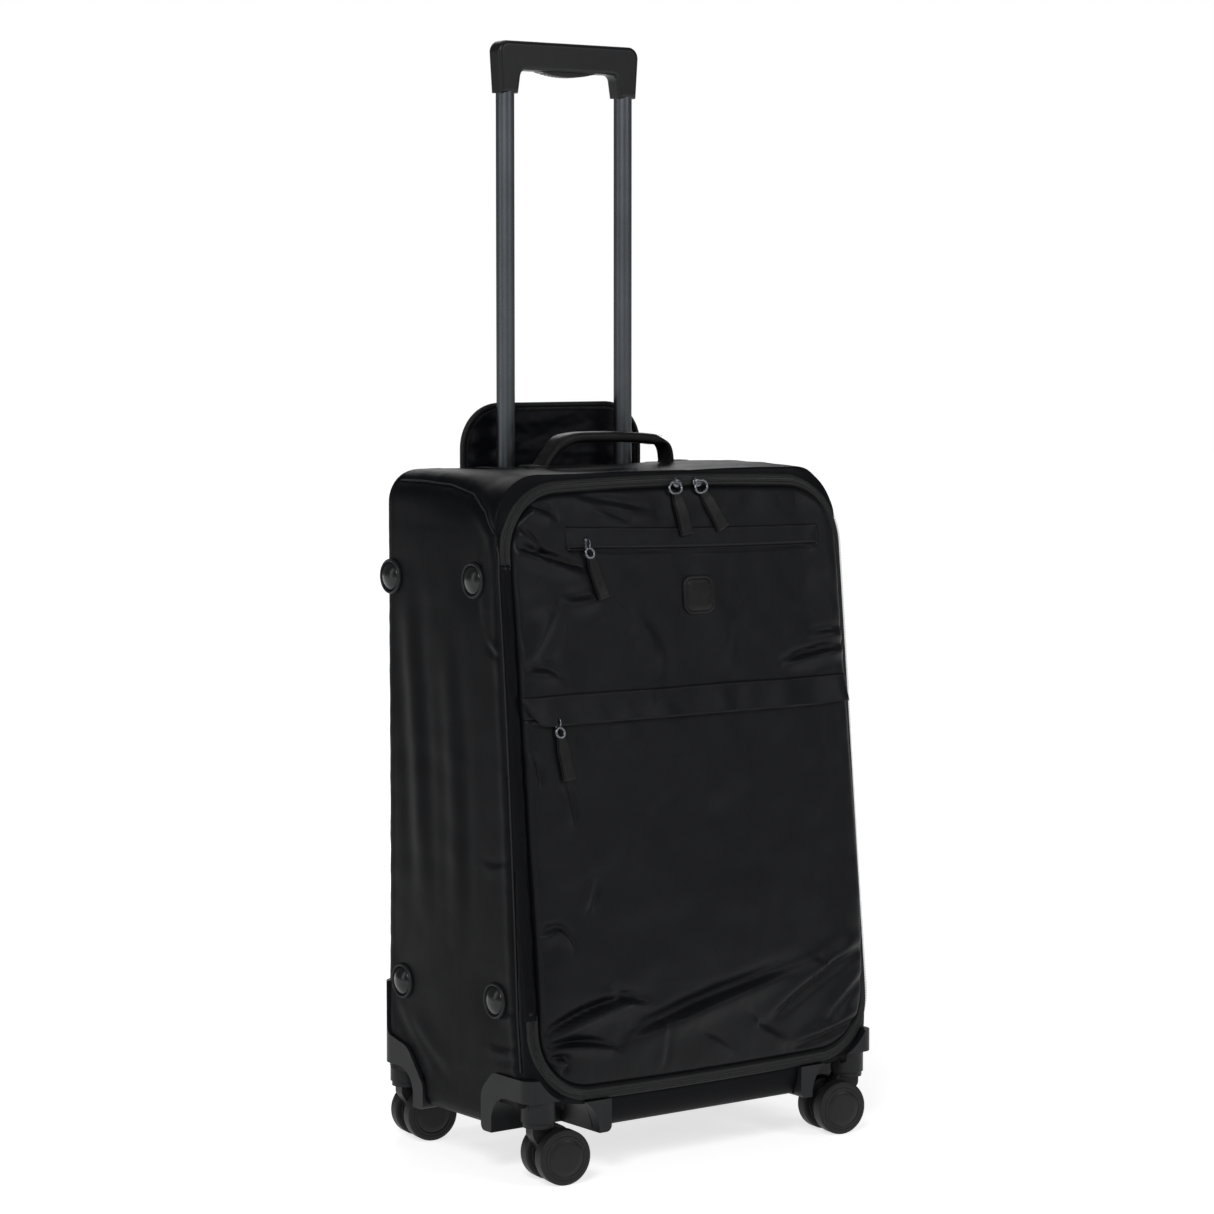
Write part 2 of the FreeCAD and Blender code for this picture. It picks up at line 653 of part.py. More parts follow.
BUTTON_HALF = 32.5
BUTTON_EDGE = 1033.6
BUTTON_SAG = 4.3
BUTTON_TOP = 1037.5
RIB_PITCH = 4.4


def make_button():
    """A crescent that bulges below the bar, with grip ribs across it and a flange inside."""
    button = new_body("release_button")
    sketch = new_sketch(button, "XZ", "tube_back - 6")
    left, right = V(-BUTTON_HALF, BUTTON_EDGE, 0), V(BUTTON_HALF, BUTTON_EDGE, 0)
    sketch.addGeometry(Part.Arc(left, V(0, BUTTON_EDGE - BUTTON_SAG, 0), right))
    rim = [right, V(BUTTON_HALF, BUTTON_TOP, 0), V(-BUTTON_HALF, BUTTON_TOP, 0), left]
    for start, stop in zip(rim, rim[1:]):
        sketch.addGeometry(Part.LineSegment(start, stop))
    pad(button, sketch, 12)
    grooves = new_sketch(button, "XZ", "tube_back - 7")
    for index in range(-6, 7):
        middle = RIB_PITCH * index
        lip = BUTTON_EDGE - BUTTON_SAG * (1 - (middle / BUTTON_HALF) ** 2)
        rounded_rect(grooves, middle - 1, middle + 1, lip - 1.5, lip + 1, 0.4)
    pocket(button, grooves, 14)
    flange = slab("button_flange", "XY", BUTTON_TOP, 4.3,
                  (-BUTTON_HALF - 3.5, BUTTON_HALF + 3.5, "tube_back - 5.4", "tube_back + 5.4", 2))
    keep("release_button", fuse("release_button", button, flange))


def make_cover_flap():
    """The zipped cover of the handle well, standing open behind the tubes."""
    half, low, high, corner = 107, 637, 710, 42
    keep("handle_cover_flap",
         prism("handle_cover_flap", "XZ", "case_back + 4.5", 3,
               [(-half, low), (half, low), (half, high), (-half, high)],
               {2: corner, 3: corner}))


# ---------------------------------------------------------------- lid

# everything from here to the casters is drawn on the upright lid, front face at Y = 0

def make_lid():
    lid = slab("lid_panel", "XZ", 0, "lid_depth", lid_outline(0), place=LEAN)
    hollow = new_sketch(lid, "XZ", "lid_wall")
    rounded_rect(hollow, *lid_outline("-lid_rim"))
    pocket(lid, hollow, 30)
    mouth = new_sketch(lid, "XZ", -5)
    rounded_rect(mouth, *welt_outline("welt_lip"))
    pocket(lid, mouth, 12)
    keep("lid_panel", lid)
    keep("lid_lining", slab("lid_lining", "XZ", 12, "lining", lid_outline("-lid_rim"),
                            place=LEAN))
    keep("lid_zip_half", slab("lid_zip_half", "XZ", -1.2, 1.2, lid_outline(-0.6),
                              lid_outline(-7), place=LEAN))
    keep("hinge_strip", slab("hinge_strip", "XZ", -2.6, 1.4, (-203, -193, 83, 491, 2),
                             place=LEAN))
    keep("upper_pocket", slab("upper_pocket", "XZ", "lid_wall", 6.8, (-142, 178, 250, 530, 8),
                              place=LEAN))
    keep("upper_pocket_welt", slab("upper_pocket_welt", "XZ", "-welt_thick", "welt_thick",
                                   welt_outline(0), welt_outline("welt_lip"), place=LEAN))
    make_lower_pocket()
    keep("badge", slab("badge", "XZ", "-badge_thick", "badge_thick",
                       (0.5, 37.5, 439.5, 474.5, 5), place=LEAN, soften=(0.8, "-badge_thick")))


def welt_outline(inset):
    """The upper pocket's zip window, smaller all round by inset."""
    return (f"welt_left + {inset}", f"welt_right - {inset}", f"welt_low + {inset}",
            f"welt_high - {inset}", 2.5)


def make_lower_pocket():
    """The big front pocket, with the band that its storm flap hangs from."""
    pocket_bag = slab("lower_pocket_bag", "XZ", "-pocket_puff", "pocket_puff",
                      ("-pocket_half", "pocket_half", 9, "flap_top - 4", 40), place=LEAN,
                      soften=(6, "-pocket_puff"))
    left, right, skew = "2 - pocket_half", "pocket_half - 2", 14
    band = slab("flap_band", "XZ", "-pocket_puff - 4", "pocket_puff + 4",
                (left, right, "flap_top - 13", "flap_top + 4", 3), place=LEAN)
    keep("lower_pocket", fuse("lower_pocket", pocket_bag, band))
    keep("storm_flap",
         prism("storm_flap", "XZ", "-pocket_puff - 6.2", 1.8,
               [(f"{left} + {skew}", "flap_low"), (right, "flap_low"), (right, "flap_top"),
                (left, "flap_top"), (left, "flap_low + 12")], {1: 6}, place=LEAN))


SLIDER_THICK = 3.2
PULL_THICK = 2.4
MAIN_ZIP_LEVEL = 563.5
UPPER_ZIP_LEVEL = 511
LOWER_ZIP_LEVEL = 348
ON_LID, ON_POCKET = 4.8, 11.7


def make_slider(name, middle, level, deep, nose):
    """A zip slider: a flat body and the narrower bail that carries the pull."""
    shell = slab(name + "_shell", "XZ", -deep, SLIDER_THICK,
                 (middle - 6, middle + 6, level - 4.5, level + 4.5, 3), place=LEAN)
    if nose:
        across = sorted((middle + 5 * nose, middle + 14 * nose))
        outline = (*across, level - 3, level + 3, 2.4)
    else:
        outline = (middle - 3, middle + 3, level - 7, level - 3, 1.2)
    bail = slab(name + "_bail", "XZ", -deep, PULL_THICK, outline, place=LEAN)
    keep(name, fuse(name, shell, bail))


def make_pull(name, middle, top, length, width, deep):
    """A leather loop pull that hangs from a slider."""
    half = width / 2
    keep(name, slab(name, "XZ", -deep, PULL_THICK,
                    (middle - half, middle + half, top - length, top, half - 0.5), place=LEAN))


def make_zip_fittings():
    """Two sliders back to back on the case's zip, and one on each pocket's zip."""
    for side, nose, middle in (("left", -1, 8), ("right", 1, 24)):
        make_slider("main_slider_" + side, middle, MAIN_ZIP_LEVEL, ON_LID, nose)
        make_pull("main_pull_" + side, middle + 10 * nose, MAIN_ZIP_LEVEL - 3.6, 45, 11,
                  ON_LID - 0.4)
    make_slider("upper_pocket_slider", -109, UPPER_ZIP_LEVEL, ON_LID, 0)
    make_pull("upper_pocket_pull", -109, UPPER_ZIP_LEVEL - 9, 44, 10, ON_LID - 0.4)
    make_slider("lower_pocket_slider", -156, LOWER_ZIP_LEVEL, ON_POCKET, 0)
    make_pull("lower_pocket_pull", -156, LOWER_ZIP_LEVEL - 8, 46, 10, ON_POCKET - 0.4)


# ---------------------------------------------------------------- casters

SPINDLE_FOOT = 57
CROWN_FOOT = 53.5
SOCKET_FOOT = 58.3


def make_casters():
    """Four swivelling casters, each a fork with its axle and two wheels that turn freely."""
    housings = []
    for corner, (side, end) in CORNERS.items():
        foot = (f"{side} * caster_side", f"{end} * caster_depth", SOCKET_FOOT)
        housing = rod("socket_bar_" + corner, "socket_radius", f"well_top - {SOCKET_FOOT}", foot)
        bore = rod("socket_bore_" + corner, "spindle_radius + tube_fit", 17, foot)
        housings.append(cut("caster_socket_" + corner, housing, bore))
        turn = num("swivel_turn") + (0 if side < 0 else 180)
        spot = V(side * num("caster_side"), end * num("caster_depth"), 0)
        place = FreeCAD.Placement(spot, FreeCAD.Rotation(V(0, 0, 1), turn))
        make_fork(corner, place)
        for which, direction in (("a", -1), ("b", 1)):
            make_wheel(f"wheel_{corner}_{which}", direction, place)
    keep("caster_sockets", group("caster_sockets", *housings))


def make_fork(corner, place):
    """The web between the wheels, its crown and spindle, and the pressed-in axle."""
    name = "caster_fork_" + corner
    top = CROWN_FOOT + 4.3
    web = prism(name + "_web", "XZ", "-web_thick / 2", "web_thick",
                [(-9, top), (-9, 46), (9, 17), (27, 17), (27, 36), (13, top)],
                {1: 6, 2: 8, 3: 8.5, 4: 9, 5: 3}, place=place)
    crown = rod(name + "_crown", 14.5, top - CROWN_FOOT, (0, 0, CROWN_FOOT), place=place)
    spindle = rod(name + "_spindle", "spindle_radius", 15, (0, 0, SPINDLE_FOOT), place=place)
    solid = fuse(name + "_solid", web, crown, spindle)
    bore = rod(name + "_bore", "axle_radius", 40, ("trail", -20, "wheel_radius"), V(0, 1, 0), place)
    axle = rod(name + "_axle", "axle_radius", "axle_length",
               ("trail", "-axle_length / 2", "wheel_radius"), V(0, 1, 0), place)
    keep(name, group(name, cut(name + "_frame", solid, bore), axle))


def make_wheel(name, direction, place):
    """A wheel as two solids: the soft tyre and the hub with its capped centre."""
    near = "web_thick / 2 + wheel_gap"
    start = near if direction > 0 else f"-({near}) - wheel_thick"
    tyre = new_body(name + "_tyre", place)
    ring = new_sketch(tyre, "XZ", start)
    circle(ring, "trail", "wheel_radius", "wheel_radius")
    circle(ring, "trail", "wheel_radius", "hub_radius")
    pad(tyre, ring, "wheel_thick")

    def on_rim(level):
        flat = at_level("y", level)
        return lambda edge: flat(edge) and edge.Curve.Radius > num("hub_radius") + 1

    for level in (start, f"{start} + wheel_thick"):
        round_edges(tyre, 2.4, on_rim(level))
    hub = new_body(name + "_hub", place)
    disc = new_sketch(hub, "XZ", start)
    circle(disc, "trail", "wheel_radius", "hub_radius")
    pad(hub, disc, "wheel_thick")
    face = f"{start} + wheel_thick - 1.2" if direction > 0 else f"{start} - 1"
    groove = new_sketch(hub, "XZ", face)
    circle(groove, "trail", "wheel_radius", "cap_radius + 2")
    circle(groove, "trail", "wheel_radius", "cap_radius")
    pocket(hub, groove, 2.2)
    bore = new_sketch(hub, "XZ", f"{start} - 1" if direction > 0 else f"{start} + 3")
    circle(bore, "trail", "wheel_radius", "axle_radius + tube_fit")
    pocket(hub, bore, "wheel_thick - 2")
    keep(name, group(name, tyre, hub))


# ---------------------------------------------------------------- build, check and write

def build():
    outer = cut("outer_form", case_volume("outer_volume", 0),
                leaning_space("lid_side", -FAR, "rim_depth"))
    make_shell(outer)
    make_case_trim()
    make_guards(outer)
    make_side_feet()
    make_carry_handles()
    make_handle_well(outer)
    make_outer_tubes()
    make_inner_tubes()
    make_grip()
    make_cover_flap()
    make_lid()
    make_zip_fittings()
    make_casters()
    DOC.recompute()


def check_and_write():
    """Stop on any failed object or invalid shape, then write each sub-part to its own file."""
    failed = [o.Name for o in DOC.Objects if {"Invalid", "Error"} & set(o.State)]
    if failed:
        raise RuntimeError("failed objects: " + ", ".join(failed))
    os.makedirs("parts", exist_ok=True)
    for name, piece in NODES.items():
        if piece.Shape.isNull() or not piece.Shape.isValid() or not piece.Shape.Solids:
            raise RuntimeError(name + ": no valid shape")
        piece.Shape.exportStep(f"parts/{name}.step")
        box = piece.Shape.BoundBox
        print(f"{name:26s} solids {len(piece.Shape.Solids)} volume {piece.Shape.Volume:10.0f}"
              f"  x {box.XMin:7.1f} {box.XMax:7.1f}  y {box.YMin:7.1f} {box.YMax:7.1f}"
              f"  z {box.ZMin:7.1f} {box.ZMax:7.1f}")
    print(len(NODES), "nodes")


build()
check_and_write()
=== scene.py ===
import json
import math
from contextlib import contextmanager

import bmesh
import bpy
import numpy as np
from mathutils import Matrix, Vector, noise

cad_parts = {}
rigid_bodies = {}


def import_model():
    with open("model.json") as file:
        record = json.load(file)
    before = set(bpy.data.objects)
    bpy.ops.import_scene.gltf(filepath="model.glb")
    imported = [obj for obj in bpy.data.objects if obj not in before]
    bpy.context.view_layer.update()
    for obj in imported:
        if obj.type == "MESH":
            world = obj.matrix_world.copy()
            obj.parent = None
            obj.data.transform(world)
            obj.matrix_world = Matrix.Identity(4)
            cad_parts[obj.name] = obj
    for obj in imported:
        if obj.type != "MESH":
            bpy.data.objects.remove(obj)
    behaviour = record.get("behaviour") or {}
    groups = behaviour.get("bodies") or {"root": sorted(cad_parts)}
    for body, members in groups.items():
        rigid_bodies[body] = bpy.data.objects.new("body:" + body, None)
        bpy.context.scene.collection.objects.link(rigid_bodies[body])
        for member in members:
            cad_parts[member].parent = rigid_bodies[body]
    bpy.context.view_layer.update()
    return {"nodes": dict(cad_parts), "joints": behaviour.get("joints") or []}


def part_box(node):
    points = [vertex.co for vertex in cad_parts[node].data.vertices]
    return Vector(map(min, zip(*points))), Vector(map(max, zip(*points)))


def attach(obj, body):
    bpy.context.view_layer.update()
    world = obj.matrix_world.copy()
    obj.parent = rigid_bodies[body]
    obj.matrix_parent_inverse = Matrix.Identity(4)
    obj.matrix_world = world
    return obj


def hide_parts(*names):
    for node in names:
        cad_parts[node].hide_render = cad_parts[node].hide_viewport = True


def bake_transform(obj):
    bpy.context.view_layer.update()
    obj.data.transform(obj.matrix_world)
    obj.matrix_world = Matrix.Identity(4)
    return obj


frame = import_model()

# A softside suitcase round the CAD frame.  Metres; X right, Y back, Z up, lid facing -Y.
JOINTS = {joint["name"]: joint for joint in frame["joints"]}
MM = 0.001

# ---------------------------------------------------------------- places read from the frame

RIM_LOW, RIM_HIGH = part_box("front_rim")
HALF = RIM_HIGH.x                       # half the case's width
TOP, BOTTOM = RIM_HIGH.z, RIM_LOW.z
TOP_CORNER, FOOT_CORNER, BACK_ROUND = 0.050, 0.012, 0.020
BACK_CORNER = 0.030                     # the top corners' radius at the back of the soft shell
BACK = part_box("back_panel")[1].y
HINGE = JOINTS["lid_open"]
UP = -np.array(HINGE["axis"], float)    # up along the leaning lid
UP /= np.linalg.norm(UP)
OUT = np.array([0.0, -UP[2], UP[1]])    # out of the lid, to the front
SIDE = np.array([1.0, 0.0, 0.0])
LID_TALL = 0.569
LID_ORIGIN = np.array(HINGE["pos_m"], float) * [0, 1, 1] - UP * LID_TALL / 2
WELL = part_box("handle_well")

# zip line round the lid, in the lid's own (x, up) plane
ZIP_HALF = 0.1990
ZIP_SHIFT = 0.0020                      # the zip line sits a little right of the middle
ZIP_LOW, ZIP_HIGH = 0.0035, 0.5615
ZIP_CORNER = 0.060
CROWN_TOP, CROWN_LOW = 0.0065, 0.0030
ZIP_MIDDLE = (ZIP_LOW + ZIP_HIGH) / 2
ZIP_HEAD, ZIP_FOOT = 0.491, 0.083       # where the zip stops, up the left side
SKIN_LIFT = 1.0 * MM                    # the lid's skin lies this far over the face's own level
BEHIND_LID = -0.3                       # out of a point well behind the lid, to face away from
CASE_POINTS = 720                       # points asked for round the case's outline


def lid_point(x, out, up):
    """Points (x, out, up) of the lid's own frame as points of the shared frame."""
    x, out, up = np.broadcast_arrays(np.asarray(x, float), out, up)
    return LID_ORIGIN + x[..., None] * SIDE + out[..., None] * OUT + up[..., None] * UP


def smooth(t):
    """A soft step from 0 to 1."""
    t = np.clip(t, 0, 1)
    return t * t * (3 - 2 * t)


def noise_at(points, size, seed=0.0):
    """Smooth noise, about -1 to 1, at each point, with features of a size in metres."""
    shift = Vector((seed * 17.3, seed * 5.1, seed * 9.7))
    return np.array([noise.noise(Vector(p) / size + shift) for p in points])


# ---------------------------------------------------------------- outlines

def ring(half, low, high, radius, count):
    """A rounded rectangle as points (x, up) with outward normals, going round from the middle
    of its bottom edge.  Every ring of one count has its corners at the same places in the list."""
    wide, tall = 2 * (half - radius), high - low - 2 * radius
    corner, side = ("arc", radius, 0.045), ("line", tall, 0.235)
    half_end = ("line", wide / 2, 0.085)
    spans = [half_end, corner, side, corner, ("line", wide, 0.18), corner, side, corner, half_end]
    points, normals = [], []
    at, heading = np.array([0.0, low]), 0.0
    for kind, size, share in spans:
        steps = round(count * share)
        along = np.array([math.cos(heading), math.sin(heading)])
        right = np.array([math.sin(heading), -math.cos(heading)])
        if kind == "line":
            for i in range(steps):
                points.append(at + along * size * i / steps)
                normals.append(right)
            at = at + along * size
        else:
            middle = at - right * size
            for i in range(steps):
                turn = heading + math.pi / 2 * i / steps
                out = np.array([math.sin(turn), -math.cos(turn)])
                points.append(middle + out * size)
                normals.append(out)
            heading += math.pi / 2
            at = middle + np.array([math.sin(heading), -math.cos(heading)]) * size
    return np.array(points), np.array(normals)


def lid_ring(inset, count=620):
    """The zip line drawn in by an inset, with its top and bottom edges a little bowed."""
    radius = max(ZIP_CORNER - inset, 0.4 * MM)
    half = max(ZIP_HALF - inset, 0.4 * MM)
    points, normals = ring(half, ZIP_LOW + inset, ZIP_HIGH - inset, radius, count)
    bow = 1 - (points[:, 0] / ZIP_HALF) ** 2
    points[:, 1] += CROWN_TOP * bow * smooth((points[:, 1] - ZIP_MIDDLE - 0.12) / 0.16)
    points[:, 1] -= CROWN_LOW * bow * smooth((ZIP_MIDDLE - 0.12 - points[:, 1]) / 0.16)
    points[:, 0] += ZIP_SHIFT
    return points, normals


# ---------------------------------------------------------------- mesh helpers

@contextmanager
def editing(mesh):
    """Open a mesh for bmesh operations and write the result back."""
    work = bmesh.new()
    work.from_mesh(mesh)
    yield work
    work.to_mesh(mesh)
    work.free()
    mesh.update()


def add_mesh(name, verts, faces, material, merge=None):
    """A smooth-shaded mesh; merge joins points that are closer than its distance."""
    mesh = bpy.data.meshes.new(name)
    mesh.from_pydata([tuple(v) for v in verts], [], [tuple(f) for f in faces])
    if merge:
        with editing(mesh) as work:
            bmesh.ops.remove_doubles(work, verts=work.verts, dist=merge)
            bmesh.ops.dissolve_degenerate(work, edges=work.edges, dist=1e-6)
            bmesh.ops.recalc_face_normals(work, faces=work.faces)
    mesh.polygons.foreach_set("use_smooth", [True] * len(mesh.polygons))
    mesh.materials.append(material)
    piece = bpy.data.objects.new(name, mesh)
    bpy.context.collection.objects.link(piece)
    return piece


def face_outwards_local(piece):
    """Turn all faces of a closed mesh outwards."""
    with editing(piece.data) as work:
        bmesh.ops.recalc_face_normals(work, faces=work.faces)


def end_caps(count, total):
    """The two faces that close a sweep of total points, with count points in each row."""
    return [tuple(range(count)), tuple(range(total - 1, total - 1 - count, -1))]


def unit_rows(vectors):
    """Vectors, one to a row, each made one long."""
    return vectors / np.linalg.norm(vectors, axis=1)[:, None]


def grid_faces(rows, columns, closed=False, flip=False):
    """Faces of a grid whose points go row by row; closed joins the last column to the first."""
    faces = []
    for r in range(rows - 1):
        for c in range(columns if closed else columns - 1):
            after = (c + 1) % columns
            quad = (r * columns + c, r * columns + after,
                    (r + 1) * columns + after, (r + 1) * columns + c)
            faces.append(quad[::-1] if flip else quad)
    return faces


def apply_modifiers(piece):
    """Make the modified shape the piece's own mesh."""
    shape = piece.evaluated_get(bpy.context.evaluated_depsgraph_get())
    mesh = bpy.data.meshes.new_from_object(shape)
    piece.modifiers.clear()
    piece.data = mesh


def thicken(piece, thickness, offset=-1.0):
    """Give a sheet its real thickness, inwards unless offset says otherwise."""
    solid = piece.modifiers.new("thickness", "SOLIDIFY")
    solid.thickness = thickness
    solid.offset = offset
    apply_modifiers(piece)


def frames_along(path, closed=False, up=(0.0, 0.0, 1.0)):
    """Tangent, side and up vectors at each point of a path."""
    path = np.asarray(path, float)
    if closed:
        tangent = np.roll(path, -1, 0) - np.roll(path, 1, 0)
    else:
        tangent = np.gradient(path, axis=0)
    tangent = unit_rows(tangent)
    side = unit_rows(np.cross(tangent, np.broadcast_to(np.asarray(up, float), path.shape)))
    return tangent, side, np.cross(side, tangent)


def sweep(name, path, profile, material, closed=False, up=(0, 0, 1)):
    """Carry a closed profile of (side, up) points along a path."""
    path = np.asarray(path, float)
    _, side, rise = frames_along(path, closed, up)
    profile = np.asarray(profile, float)
    verts = (path[:, None] + side[:, None] * profile[None, :, :1]
             + rise[:, None] * profile[None, :, 1:]).reshape(-1, 3)
    rows = len(path) + 1 if closed else len(path)
    faces = grid_faces(rows, len(profile), closed=True)
    faces = [tuple(i % len(verts) for i in face) for face in faces]
    if not closed:
        faces += end_caps(len(profile), len(verts))
    return add_mesh(name, verts, faces, material)


def oval(width, height, count=14, power=2.0):
    """A closed oval profile; a higher power squares it off."""
    turn = np.linspace(0, 2 * math.pi, count, endpoint=False)
    cos, sin = np.cos(turn), np.sin(turn)
    bend = 2.0 / power
    return np.stack([np.sign(cos) * np.abs(cos) ** bend * width / 2,
                     np.sign(sin) * np.abs(sin) ** bend * height / 2], 1)


def resample(path, step, closed=False):
    """Points at an even step along a path."""
    path = np.asarray(path, float)
    if closed:
        path = np.vstack([path, path[:1]])
    lengths = np.r_[0, np.cumsum(np.linalg.norm(np.diff(path, axis=0), axis=1))]
    count = max(2, round(lengths[-1] / step))
    at = np.linspace(0, lengths[-1], count + 1)
    if closed:
        at = at[:-1]
    return np.stack([np.interp(at, lengths, path[:, k]) for k in range(path.shape[1])], 1)


def copies(name, shape_verts, shape_faces, places, material):
    """One mesh of many small copies, each placed by (origin, side, along, out) vectors."""
    shape_verts = np.asarray(shape_verts, float)
    verts, faces = [], []
    for origin, side, along, out in places:
        start = len(verts) * len(shape_verts)
        turned = (origin + shape_verts[:, :1] * side + shape_verts[:, 1:2] * along
                  + shape_verts[:, 2:] * out)
        verts.append(turned)
        faces.extend(tuple(start + i for i in face) for face in shape_faces)
    return add_mesh(name, np.concatenate(verts), faces, material)


def capsule(width, length, height):
    """A small rounded bar along its second axis, for a stitch or a zip tooth."""
    rows = [(-0.5, 0.25), (-0.36, 0.8), (0.36, 0.8), (0.5, 0.25)]
    count = 6
    verts = []
    for at, swell in rows:
        for i in range(count):
            turn = 2 * math.pi * i / count
            verts.append((math.cos(turn) * width / 2 * swell, at * length,
                          math.sin(turn) * height / 2 * swell))
    faces = grid_faces(len(rows), count, closed=True, flip=True)
    return verts, faces + end_caps(count, len(verts))


def stitches(name, path, normal, body, slot_name, pitch=3.2 * MM, thread=0.55 * MM,
             lift=0.15 * MM):
    """A row of sewn stitches along a path that lies on a surface."""
    path = resample(path, pitch)
    tangent, side, out = frames_along(path, up=normal)
    verts, faces = capsule(thread, pitch * 0.72, thread * 0.8)
    places = [(path[i] + out[i] * lift, side[i], tangent[i], out[i]) for i in range(len(path))]
    finish_piece(copies(name, verts, faces, places, THREAD), body, slot_name)


def revolve(name, profile, material, place, steps=72):
    """Turn a profile of (radius, height) points round the height axis of a place."""
    turns = np.linspace(0, 2 * math.pi, steps, endpoint=False)
    verts = np.concatenate([np.stack([np.cos(turns) * radius, np.sin(turns) * radius,
                                      np.full(steps, height)], 1) for radius, height in profile])
    faces = grid_faces(len(profile), steps, closed=True)
    piece = add_mesh(name, verts, faces, material, merge=1e-6)
    piece.data.transform(place)
    face_outwards_local(piece)
    return piece


def turned_to(axis, origin):
    """A place whose height axis points along an axis."""
    turn = Vector((0, 0, 1)).rotation_difference(Vector(axis)).to_matrix().to_4x4()
    return Matrix.Translation(Vector(origin)) @ turn


def rounded(points, radius=1.0 * MM, steps=4):
    """Round the corners of an open profile of (radius, height) points."""
    points = [np.array(p, float) for p in points]
    result = [points[0]]
    for before, here, after in zip(points, points[1:], points[2:]):
        back, on = before - here, after - here
        reach = min(radius, np.linalg.norm(back) * 0.45, np.linalg.norm(on) * 0.45)
        start = here + back / np.linalg.norm(back) * reach
        stop = here + on / np.linalg.norm(on) * reach
        for k in range(steps + 1):
            t = k / steps
            result.append((1 - t) ** 2 * start + 2 * t * (1 - t) * here + t * t * stop)
    result.append(points[-1])
    return result


# ---------------------------------------------------------------- materials

def material_base(name, colour, roughness, metallic=0.0, gloss=0.5):
    """A Principled material with its constant values set on its own sockets."""
    material = bpy.data.materials.new(name)
    material.use_nodes = True
    nodes = material.node_tree.nodes
    shader = nodes["Principled BSDF"]
    shader.inputs["Base Color"].default_value = (*colour, 1)
    shader.inputs["Roughness"].default_value = roughness
    shader.inputs["Metallic"].default_value = metallic
    shader.inputs["Specular IOR Level"].default_value = gloss
    return material, nodes, material.node_tree.links, shader


def add_node(nodes, kind, **settings):
    """A new node with values set on its sockets, or on itself where it has no such socket."""
    node = nodes.new(kind)
    for key, value in settings.items():
        if key in node.inputs:
            node.inputs[key].default_value = value
        else:
            setattr(node, key, value)
    return node


def noise_factor(nodes, links, place, **settings):
    """The output of a noise texture laid out by a place."""
    texture = add_node(nodes, "ShaderNodeTexNoise", **settings)
    links.new(place, texture.inputs["Vector"])
    return texture.outputs["Fac"]


def maths(nodes, links, operation, first, second=None):
    """The output of a Math node whose inputs are numbers or other nodes' outputs."""
    node = nodes.new("ShaderNodeMath")
    node.operation = operation
    for index, value in enumerate((first, second)):
        if value is None:
            continue
        if isinstance(value, (int, float)):
            node.inputs[index].default_value = value
        else:
            links.new(value, node.inputs[index])
    return node.outputs[0]


def object_coordinates(nodes, links):
    """Surface-following coordinates: u runs round the object and v up it."""
    place = nodes.new("ShaderNodeTexCoord").outputs["Object"]
    split = nodes.new("ShaderNodeSeparateXYZ")
    links.new(place, split.inputs[0])
    x, y, z = split.outputs
    u = maths(nodes, links, "ADD", x, y)
    v = maths(nodes, links, "ADD", z, maths(nodes, links, "MULTIPLY", y, 0.7))
    return place, u, v


def vary_colour(nodes, links, shader, place, colour, spread, size):
    """Mottle the base colour a little, over patches of a size in metres."""
    patches = noise_factor(nodes, links, place, Scale=1 / size, Detail=4.0)
    ramp = nodes.new("ShaderNodeValToRGB")
    for stop, position, scale in zip(ramp.color_ramp.elements, (0.3, 0.7),
                                     (1 - spread, 1 + spread)):
        stop.color = (*(c * scale for c in colour), 1)
        stop.position = position
    links.new(patches, ramp.inputs["Fac"])
    links.new(ramp.outputs["Color"], shader.inputs["Base Color"])


def vary_roughness(nodes, links, shader, place, low, high, size):
    """Vary the roughness between two values, over patches of a size in metres."""
    patches = noise_factor(nodes, links, place, Scale=1 / size, Detail=3.0)
    spread = nodes.new("ShaderNodeMapRange")
    spread.inputs["To Min"].default_value = low
    spread.inputs["To Max"].default_value = high
    links.new(patches, spread.inputs["Value"])
    links.new(spread.outputs["Result"], shader.inputs["Roughness"])


def add_bump(nodes, links, shader, height, strength, distance, under=None):
    """Bump the shader's normal by a height, over another bump if there is one under it."""
    bump = add_node(nodes, "ShaderNodeBump", Strength=strength, Distance=distance)
    links.new(height, bump.inputs["Height"])
    if under is not None:
        links.new(under, bump.inputs["Normal"])
    links.new(bump.outputs["Normal"], shader.inputs["Normal"])
    return bump.outputs["Normal"]


def woven(name, colour, roughness, thread, sheen=0.012, bump=0.25, spread=0.18, gloss=0.13):
    """Plain-woven synthetic cloth: crossing threads, faint slubs and patchy gloss."""
    material, nodes, links, shader = material_base(name, colour, roughness, gloss=gloss)
    shader.inputs["Sheen Weight"].default_value = sheen
    shader.inputs["Sheen Roughness"].default_value = 0.4
    shader.inputs["Sheen Tint"].default_value = (0.75, 0.82, 1.0, 1)
    place, u, v = object_coordinates(nodes, links)
    turns = 2 * math.pi / thread
    warp = maths(nodes, links, "SINE", maths(nodes, links, "MULTIPLY", u, turns))
    weft = maths(nodes, links, "SINE", maths(nodes, links, "MULTIPLY", v, turns))
    weave = maths(nodes, links, "MULTIPLY", warp, weft)
    slub = noise_factor(nodes, links, place, Scale=900.0, Detail=2.0)
    height = maths(nodes, links, "ADD", maths(nodes, links, "MULTIPLY", weave, 0.6), slub)
    fine = add_bump(nodes, links, shader, height, bump, 0.12 * MM)
    rumple = noise_factor(nodes, links, place, Scale=70.0, Detail=4.0, Roughness=0.6)
    add_bump(nodes, links, shader, rumple, 0.25, 0.7 * MM, fine)
    vary_colour(nodes, links, shader, place, colour, spread, 0.05)
    vary_roughness(nodes, links, shader, place, roughness - 0.05, roughness + 0.08, 0.03)
    return material


